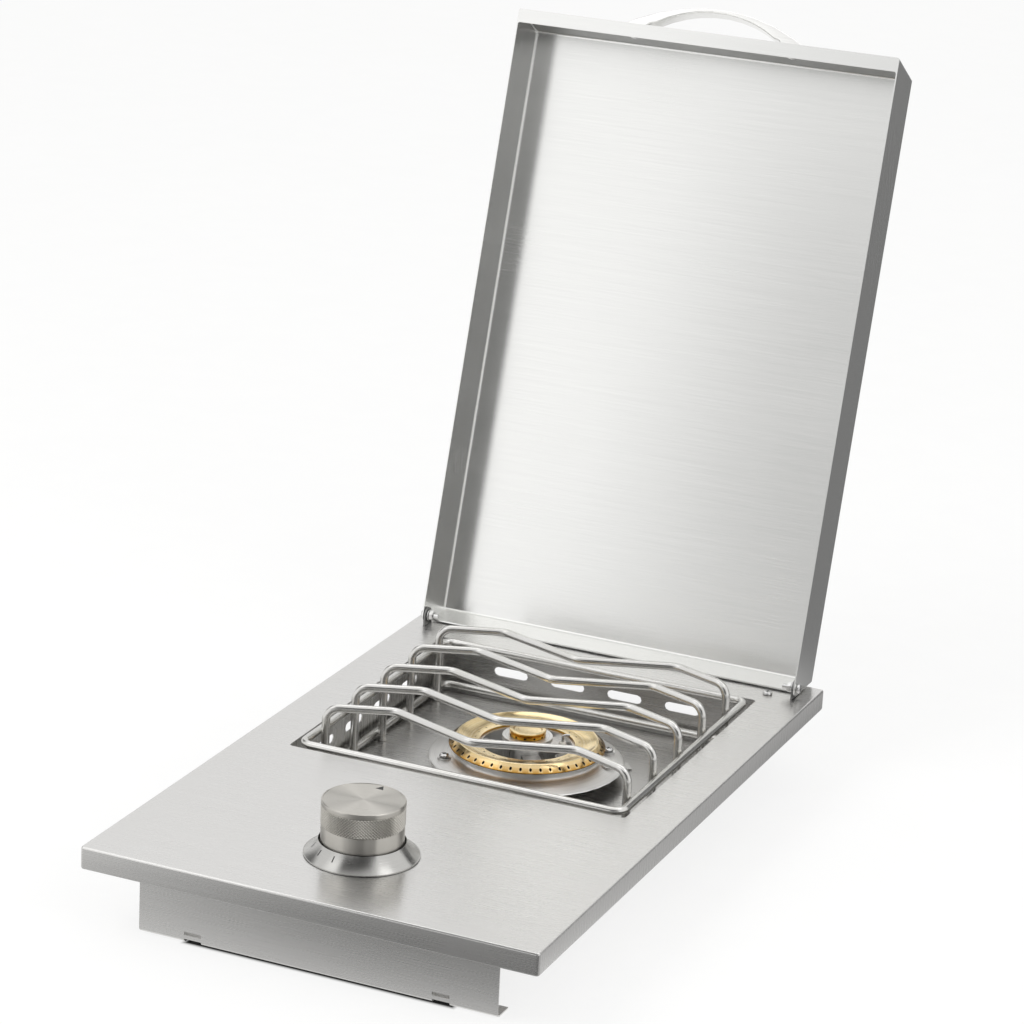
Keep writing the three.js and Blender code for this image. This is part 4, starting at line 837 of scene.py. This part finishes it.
class TurnBezel(bpy.types.Operator):
    """Turn the conical bezel and print its tick marks"""
    bl_idname = "side_burner.turn_bezel"
    bl_label = "Turn Bezel"

    def execute(self, context):
        low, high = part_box("knob_bezel")
        centre = middle_of("knob_bezel")
        gap, wall, floor, neck = 1.1 * MM, 1.5 * MM, low.z + 1 * MM, 7.4 * MM
        outer, mouth = size_of("knob_bezel").x / 2, size_of("control_knob").x / 2 + gap
        flank = self.flank(outer, mouth, low.z, high.z)
        inside = [(mouth, high.z - wall), (outer - 3.5 * wall, floor), (neck, floor), (neck, low.z)]
        bm = bmesh.new()
        revolve(bm, flank + inside, centre, 128, closed=True)
        add_piece(bm, "knob_bezel_turned", bezel_steel(), "root", ["knob_bezel"], 30)
        self.ticks(centre, flank)
        return {"FINISHED"}

    def flank(self, outer, mouth, foot, top):
        """The cone's outline, slightly hollow above its lip."""
        steps, hollow, lip = 16, 1.2 * MM, 0.6 * MM
        pull = Vector(((outer + mouth) / 2 - hollow, (foot + top) / 2 - hollow))
        start, end = Vector((outer, foot)), Vector((mouth, top))
        curve = [tuple(bow(start, pull, end, i / steps)) for i in range(1, steps + 1)]
        return [(outer, foot), (outer, foot + lip)] + curve

    def ticks(self, centre, flank):
        """Short marks up the flank, evenly set through the knob's turn."""
        knob = bpy.context.scene.burner_knob
        lift, first, last = 0.05 * MM, 9, 15
        stretch = [(r + lift, z + lift) for r, z in flank[first:last]]
        turn = math.radians(joint("knob_turn")["range_deg"][1])
        width = knob.tick_width / flank[first][0]
        bm = bmesh.new()
        for i in range(knob.tick_count):
            bearing = RIGHT_ANGLE + turn * i / (knob.tick_count - 1) - width / 2
            made = chain(bm, stretch)
            verts = [g for g in made if isinstance(g, bmesh.types.BMVert)]
            bmesh.ops.rotate(bm, verts=verts, cent=(0, 0, 0), matrix=Matrix.Rotation(bearing, 3, "Z"))
            bmesh.ops.translate(bm, verts=verts, vec=(centre.x, centre.y, 0))
            bmesh.ops.spin(bm, geom=made, cent=(centre.x, centre.y, 0), axis=(0, 0, 1), angle=width, steps=3)
        bmesh.ops.recalc_face_normals(bm, faces=bm.faces)
        add_piece(bm, "bezel_ticks", black_ink(), "root")


class CastBurner(bpy.types.Operator):
    """Cast the burner base with its disc, arms and hub"""
    bl_idname = "side_burner.cast_burner"
    bl_label = "Cast Burner"

    def execute(self, context):
        dressed_copy("burner_base", machined_aluminium(), 0.25 * MM)
        return {"FINISHED"}


class TurnBrass(bpy.types.Operator):
    """Turn the ported brass ring and the centre cap"""
    bl_idname = "side_burner.turn_brass"
    bl_label = "Turn Brass"

    cap_ports = 12

    def execute(self, context):
        self.ring(context)
        self.cap(context)
        return {"FINISHED"}

    def ring(self, context):
        """A ring with a sloped outside, a crest and a dish down to its hole, hollow underneath."""
        burner = context.scene.burner_brass
        low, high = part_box("burner_ring")
        radius = size_of("burner_ring").x / 2
        hole, land, wall, rim, draft = 34.7 * MM, 0.6 * MM, 1.3 * MM, 1.2 * MM, 0.05 * MM
        crest = radius - 5.5 * MM
        dish_top, dish_foot = crest - rim, low.z + 1.5 * wall
        slope = [(radius - draft, low.z + land + 0.1 * MM), (crest, high.z), (dish_top, high.z)]
        outside = [(radius, low.z), (radius, low.z + land)] + rounded_outline(slope, 0.6 * MM)
        pull = Vector(((crest + hole) / 2, dish_foot))
        steps = max(6, round((crest - hole) / (burner.groove_pitch / 2)))
        dish = []
        for i in range(1, steps + 1):
            at = bow(Vector((dish_top, high.z)), pull, Vector((hole, dish_foot)), i / steps)
            dish.append((at.x, at.y - (burner.groove_depth if i % 2 else 0)))
        seat_out, seat_in, roof = 52.3 * MM, 49.2 * MM, high.z - 2 * wall
        under = [(hole, dish_foot - wall), (hole + 4 * MM, dish_foot - wall), (seat_in - wall, roof),
                 (seat_in, roof), (seat_in, low.z + wall), (seat_out, low.z + wall), (seat_out, low.z)]
        drills = bmesh.new()
        height = (low.z + high.z) / 2 - 0.2 * MM
        for i in range(burner.port_count):
            bearing = (i + 0.5) * FULL_TURN / burner.port_count
            self.drill(drills, bearing, radius - 1.5 * MM, height, burner.port_size / 2, 5 * MM)
        for i in range(burner.port_count // 2):
            bearing = 2 * i * FULL_TURN / burner.port_count
            self.drill(drills, bearing, hole + 3.8 * MM, low.z + wall, burner.port_size * 0.35, 8 * MM,
                       RIGHT_ANGLE)
        self.turn("burner_ring", outside + dish + under, 4 * burner.port_count, drills, closed=True)

    def cap(self, context):
        """A shallow dished cap over a ported band, on a hollow spigot."""
        burner = context.scene.burner_brass
        low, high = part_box("burner_cap")
        radius = size_of("burner_cap").x / 2
        top, waist, band, spigot, wall = high.z, 11.6 * MM, 13.3 * MM, 8.45 * MM, 1.7 * MM
        dished, waist_at, band_at, foot = (top - depth * MM for depth in (0.8, 1.6, 2.3, 4.7))
        steps, lip = 14, 0.7 * MM
        outline = [(0, dished)]
        for i in range(1, steps):
            outline.append((radius * 0.72 * i / steps, dished - (burner.groove_depth if i % 2 else 0)))
        outline += [(radius * 0.74, dished), (radius * 0.79, top)]
        outline += arc_points((radius - lip, top - lip), lip, 90, -60, 8)
        outline += [(waist, waist_at), (band, band_at), (band, foot), (spigot, foot), (spigot, low.z),
                    (spigot - wall, low.z), (spigot - wall, band_at), (0, band_at)]
        drills = bmesh.new()
        for i in range(self.cap_ports):
            bearing = (i + 0.5) * FULL_TURN / self.cap_ports
            self.drill(drills, bearing, band, (band_at + foot) / 2, 0.9 * MM, 5 * MM)
        self.turn("burner_cap", outline, 96, drills)

    def drill(self, bm, bearing, reach, height, radius, length, slope=0):
        """A round drill set radially from the axis at a bearing, tilted up by a slope."""
        out = Matrix.Rotation(bearing, 4, "Z") @ Matrix.Translation((reach, 0, height))
        tilt = Matrix.Rotation(RIGHT_ANGLE - slope, 4, "Y")
        bmesh.ops.create_cone(bm, cap_ends=True, segments=10, radius1=radius, radius2=radius, depth=length,
                              matrix=out @ tilt)

    def turn(self, node, outline, segments, drills, closed=False):
        """Turns a node's outline in brass and drills its ports."""
        centre = middle_of(node)
        bm = bmesh.new()
        revolve(bm, outline, centre, segments, closed)
        piece = add_piece(bm, node + "_turned", turned_brass(), "root", [node], 24)
        bmesh.ops.translate(drills, verts=drills.verts, vec=(centre.x, centre.y, 0))
        # The ports are lined with painted shade
        cut_with(piece, drills, port_painted_shade())
        piece.data.set_sharp_from_angle(angle=math.radians(24))


class SetIgniter(bpy.types.Operator):
    """Finish the igniter's ceramic and its electrode"""
    bl_idname = "side_burner.set_igniter"
    bl_label = "Set Igniter"

    def execute(self, context):
        dressed_copy("igniter_ceramic", glazed_ceramic(), 0.3 * MM)
        dressed_copy("igniter_electrode", screw_steel(), 0)
        return {"FINISHED"}


class DriveScrews(bpy.types.Operator):
    """Drive the cross-recessed screws and set the hinge hardware"""
    bl_idname = "side_burner.drive_screws"
    bl_label = "Drive Screws"

    head_radius: length_property("Head radius", "Half the head's width", 3.7)
    head_height: length_property("Head height", "Height of the pan head", 2.6)
    shank: length_property("Shank radius", "Half the screw's thickness", 2)

    upright = ("hinge_foot_screw", "burner_screw", "valve_screw")

    def execute(self, context):
        sides = ("_left", "_right")
        for name in [kind + side for kind in self.upright for side in sides]:
            low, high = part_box(name)
            at = middle_of(name)
            seat = Vector((at.x, at.y, high.z - self.head_height))
            self.screw(name, seat, (0, 0, 1), high.z - low.z - self.head_height)
        for name, side in (("hinge_bolt_left", -1), ("hinge_bolt_right", 1)):
            low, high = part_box(name)
            at = middle_of(name)
            outer = high.x if side > 0 else low.x
            seat = Vector((outer - side * self.head_height, at.y, at.z))
            self.screw(name, seat, (side, 0, 0), high.x - low.x - self.head_height)
        for kind in ("lid_handle_screw", "hinge_washer", "hinge_nut"):
            for side in sides:
                dressed_copy(kind + side, screw_steel(), 0.2 * MM)
        return {"FINISHED"}

    def screw(self, name, seat, axis, length):
        bm = bmesh.new()
        screw_head(bm, seat, axis, self.head_radius, self.head_height, self.shank, length)
        piece = add_piece(bm, name + "_turned", screw_steel(), "root", [name], 30)
        # The second slot holds the painted shade of the cross recess
        piece.data.materials.append(recess_shade())


class DressGasTrain(bpy.types.Operator):
    """Finish the valve, its fittings, the mixer tube and the air shutter"""
    bl_idname = "side_burner.dress_gas_train"
    bl_label = "Dress Gas Train"

    def execute(self, context):
        for node in ("valve_body", "gas_inlet_fitting", "gas_orifice"):
            dressed_copy(node, forged_brass(), 0.3 * MM)
        dressed_copy("mixer_tube", wire_steel(), 0.2 * MM)
        dressed_copy("air_shutter", screw_steel(), 0.2 * MM)
        return {"FINISHED"}


class SetStage(bpy.types.Operator):
    """Set the floor, the light and the camera"""
    bl_idname = "side_burner.set_stage"
    bl_label = "Set Stage"

    camera_angles = (23.12, 18.32, 2.95)  # azimuth, elevation and roll in degrees
    camera_place = (960.6, -1948.4, 1000.6)  # in millimetres

    def execute(self, context):
        self.floor(context)
        self.world(context)
        self.cards()
        self.lamps(context)
        self.camera(context)
        context.scene.view_settings.view_transform = "Standard"
        return {"FINISHED"}

    def shown(self, tree):
        """1 on rays that show the background: from the camera, or by way of metal or glass."""
        path = add_node(tree, "ShaderNodeLightPath")
        first = add_node(tree, "ShaderNodeMath", {
            0: path.outputs["Is Camera Ray"], 1: path.outputs["Is Glossy Ray"]}, operation="MAXIMUM")
        return add_node(tree, "ShaderNodeMath", {
            0: first.outputs[0], 1: path.outputs["Is Transmission Ray"]}, operation="MAXIMUM").outputs[0]

    def floor(self, context):
        # Seamless studio paper: matt and pale, nearly white to the eye but with the object's shadow on it,
        # and a patch of painted shade behind the apron
        stage = context.scene.burner_stage
        material = bpy.data.materials.new("studio_paper")
        tree = fresh_tree(material)
        place = add_node(tree, "ShaderNodeTexCoord").outputs["Object"]
        mottle = add_node(tree, "ShaderNodeTexNoise", {"Vector": place, "Scale": 30, "Detail": 4})
        share = add_node(tree, "ShaderNodeMapRange", {"Value": mottle.outputs["Fac"], **NOISE_MIDDLE})
        pale = add_node(tree, "ShaderNodeMix", {
            0: share.outputs[0], 6: linear("#EEEEEC"), 7: stage.floor_colour}, data_type="RGBA")
        outside = self.outside(tree, place)
        # Painted shade: the paper turns dark grey behind the apron
        shade = add_node(tree, "ShaderNodeMix", {
            0: outside, 6: linear("#3C3C3C"), 7: pale.outputs[2]}, data_type="RGBA")
        paper = add_node(tree, "ShaderNodeBsdfDiffuse", {"Color": shade.outputs[2]})
        glow = add_node(tree, "ShaderNodeEmission", {"Color": WHITE, "Strength": 1.02})
        seen = add_node(tree, "ShaderNodeMath", {0: self.shown(tree), 1: outside}, operation="MULTIPLY")
        white = add_node(tree, "ShaderNodeMath", {
            0: seen.outputs[0], 1: stage.white_share}, operation="MULTIPLY")
        both = add_node(tree, "ShaderNodeMixShader", {
            0: white.outputs[0], 1: paper.outputs[0], 2: glow.outputs[0]})
        add_node(tree, "ShaderNodeOutputMaterial", {"Surface": both.outputs[0]})
        bm = bmesh.new()
        bmesh.ops.create_circle(bm, cap_ends=True, segments=96, radius=stage.floor_reach,
                                matrix=Matrix.Translation((0, middle_of("top_panel").y, cad_box[0][2])))
        floor = mesh_object("studio_floor", bm)
        floor.data.materials.append(material)

    def outside(self, tree, place):
        """1 on the open floor and 0 on a patch of painted shade behind the apron, under the panel."""
        low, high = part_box("front_apron")
        reach, inset, blur = 28 * MM, 30 * MM, 4 * MM
        middle = Vector(((low.x + high.x) / 2, low.y + reach / 2, 0))
        half = Vector(((high.x - low.x) / 2 - inset, reach / 2, 0))
        off = add_node(tree, "ShaderNodeVectorMath", {0: place, 1: middle}, operation="SUBTRACT")
        size = add_node(tree, "ShaderNodeVectorMath", {0: off.outputs[0]}, operation="ABSOLUTE")
        over = add_node(tree, "ShaderNodeVectorMath", {0: size.outputs[0], 1: half}, operation="SUBTRACT")
        each = add_node(tree, "ShaderNodeSeparateXYZ", {0: over.outputs[0]})
        past = add_node(tree, "ShaderNodeMath", {
            0: each.outputs["X"], 1: each.outputs["Y"]}, operation="MAXIMUM")
        return add_node(tree, "ShaderNodeMapRange", {
            "Value": past.outputs[0], "From Min": -blur, "From Max": 0}).outputs["Result"]

    def world(self, context):
        # Even soft light, white where it is seen
        stage = context.scene.burner_stage
        world = bpy.data.worlds.new("studio")
        context.scene.world = world
        tree = fresh_tree(world)
        light = add_node(tree, "ShaderNodeBackground", {"Color": WHITE, "Strength": stage.world_strength})
        seen = add_node(tree, "ShaderNodeBackground", {"Color": WHITE, "Strength": 1})
        both = add_node(tree, "ShaderNodeMixShader", {
            0: self.shown(tree), 1: light.outputs[0], 2: seen.outputs[0]})
        add_node(tree, "ShaderNodeOutputWorld", {"Surface": both.outputs[0]})

    def cards(self):
        # Cards that only shiny surfaces see: dark ones shade bright metal, bright ones give it its lines
        for name, centre, turns, size, solid, strength in CARDS:
            tilt, turn = (math.radians(a) for a in turns)
            turned = Matrix.Rotation(turn, 4, "Z") @ Matrix.Rotation(tilt, 4, "X")
            scaled = Matrix.Diagonal((size[0] / 2, size[1] / 2, 1, 1))
            self.card(name, Matrix.Translation(centre) @ turned @ scaled, solid, strength)

    def card(self, name, matrix, solid, strength):
        """A soft-edged card that glows as brightly as it is told."""
        material = bpy.data.materials.new(name)
        tree = fresh_tree(material)
        place = add_node(tree, "ShaderNodeTexCoord")
        flat = add_node(tree, "ShaderNodeSeparateXYZ", {0: place.outputs["UV"]})
        masks = []
        for axis in ("X", "Y"):
            off = add_node(tree, "ShaderNodeMath", {0: flat.outputs[axis], 1: 0.5}, operation="SUBTRACT")
            size_off = add_node(tree, "ShaderNodeMath", {0: off.outputs[0]}, operation="ABSOLUTE")
            masks.append(add_node(tree, "ShaderNodeMapRange", {
                "Value": size_off.outputs[0], "From Min": 0.5, "From Max": solid / 2,
            }, interpolation_type="SMOOTHSTEP").outputs["Result"])
        mask = add_node(tree, "ShaderNodeMath", {0: masks[0], 1: masks[1]}, operation="MULTIPLY")
        clear = add_node(tree, "ShaderNodeBsdfTransparent")
        glow = add_node(tree, "ShaderNodeEmission", {"Color": WHITE, "Strength": strength})
        both = add_node(tree, "ShaderNodeMixShader", {
            0: mask.outputs[0], 1: clear.outputs[0], 2: glow.outputs[0]})
        add_node(tree, "ShaderNodeOutputMaterial", {"Surface": both.outputs[0]})
        bm = bmesh.new()
        bm.loops.layers.uv.new("UVMap")
        bmesh.ops.create_grid(bm, x_segments=1, y_segments=1, size=1, matrix=matrix, calc_uvs=True)
        card = mesh_object(name, bm)
        card.data.materials.append(material)
        for ray in ("camera", "diffuse", "transmission", "volume_scatter", "shadow"):
            setattr(card, "visible_" + ray, False)

    def lamps(self, context):
        power = context.scene.burner_stage.key_power
        for name, place, share in (("key", (-1.3, -1.1, 2.2), 1), ("fill", (1.8, -0.6, 1.6), 0.5)):
            lamp = bpy.data.lights.new(name, "AREA")
            lamp.shape = "DISK"
            lamp.size = 1.6
            lamp.energy = power * share
            holder = bpy.data.objects.new(name, lamp)
            context.scene.collection.objects.link(holder)
            aim = middle_of("top_panel") - Vector(place)
            turn = aim.to_track_quat("-Z", "Y").to_matrix().to_4x4()
            holder.matrix_world = Matrix.Translation(place) @ turn
            holder.visible_glossy = False

    def camera(self, context):
        """The photograph's viewpoint, with its slight roll."""
        azimuth, elevation, roll = (math.radians(a) for a in self.camera_angles)
        tilt = Matrix.Rotation(RIGHT_ANGLE - elevation, 4, "X")
        turn = Matrix.Rotation(azimuth, 4, "Z") @ tilt @ Matrix.Rotation(roll, 4, "Z")
        data = bpy.data.cameras.new("camera")
        data.lens = context.scene.burner_stage.lens
        data.sensor_width = 36
        data.sensor_fit = "HORIZONTAL"
        data.clip_end = 100
        camera = bpy.data.objects.new("camera", data)
        context.scene.collection.objects.link(camera)
        camera.matrix_world = Matrix.Translation(Vector(self.camera_place) * MM) @ turn
        context.scene.camera = camera


class SideBurnerPanel(bpy.types.Panel):
    """Sizes, colours and steps of the side burner"""
    bl_idname = "VIEW3D_PT_side_burner"
    bl_label = "Side Burner"
    bl_space_type = "VIEW_3D"
    bl_region_type = "UI"
    bl_category = "Side Burner"

    def draw(self, context):
        for name, group in SETTINGS.items():
            box = self.layout.box()
            box.label(text=group.__doc__)
            for prop in group.__annotations__:
                box.prop(getattr(context.scene, name), prop)
        for step in STEPS:
            self.layout.operator(step.bl_idname)


# Cards around the object: name, middle in metres, tilt and turn in degrees from lying flat, width and depth,
# the share of it that is solid, and its brightness
CARDS = (
    ("card_flange", (0.68, -0.5, 0.62), (90, 0), (1.0, 1.0), 0.8, 0.1),
    ("card_front_left", (-1.1, -2.4, 0.9), (90, -22), (1.8, 1.8), 0.45, 1.15),
    ("card_lid_right", (-0.2, -0.85, 0.55), (90, -12), (0.8, 1.0), 0.45, 0.6),
    ("card_floor_front", (0.55, -0.24, -0.043), (0, 0), (2.2, 0.7), 0.45, 0.17),
    ("card_floor_right", (0.75, 2.0, -0.043), (0, 0), (1.7, 4.4), 0.6, 0.2),
    ("card_floor_edge", (0.5, 0.36, -0.042), (0, 0), (0.66, 0.76), 0.8, 0.5),
    ("card_bend_right", (1.15, 2.9, 1.4), (90, 0), (1.7, 1.3), 0.6, 0.05),
    ("card_back_left", (-1.5, 3.0, 1.0), (90, 0), (2.4, 2.0), 0.45, 0.85),
    ("card_back_right", (1.3, 2.4, 0.3), (90, -20), (2.2, 1.4), 0.6, 0.2),
    ("card_bezel", (0.03, -0.28, 0.409), (-12.4, 0), (0.46, 0.6), 0.7, 0.0),
    ("card_knob", (0.25, -1.05, 0.4), (90, 0), (1.1, 0.9), 0.5, 0.12),
    ("card_side_left", (-1.75, 0.85, 1.2), (60, 64), (1.3, 2.4), 0.5, 0.1),
    ("card_bright_front", (-1.6, -0.9, 2.4), (0, 0), (1.8, 1.8), 0.6, 1.6),
    ("card_bright_back", (-0.6, 1.6, 3.0), (0, 0), (3.6, 1.8), 0.45, 2.0),
    ("card_bright_right", (1.15, 0.55, 2.4), (0, 0), (0.9, 1.2), 0.6, 2.4),
)

STEPS = (SetStage, DressSheets, DressLid, DressHandle, BendGrate, TurnKnob, TurnBezel, CastBurner, TurnBrass,
         SetIgniter, DriveScrews, DressGasTrain)


def register():
    for group in SETTINGS.values():
        bpy.utils.register_class(group)
    for name, group in SETTINGS.items():
        setattr(bpy.types.Scene, name, PointerProperty(type=group))
    for step in STEPS:
        bpy.utils.register_class(step)
    bpy.utils.register_class(SideBurnerPanel)


def unregister():
    bpy.utils.unregister_class(SideBurnerPanel)
    for step in reversed(STEPS):
        bpy.utils.unregister_class(step)
    for name, group in SETTINGS.items():
        delattr(bpy.types.Scene, name)
        bpy.utils.unregister_class(group)


def main():
    register()
    for step in STEPS:
        group, name = step.bl_idname.split(".")
        getattr(getattr(bpy.ops, group), name)()


if __name__ == "__main__":
    main()
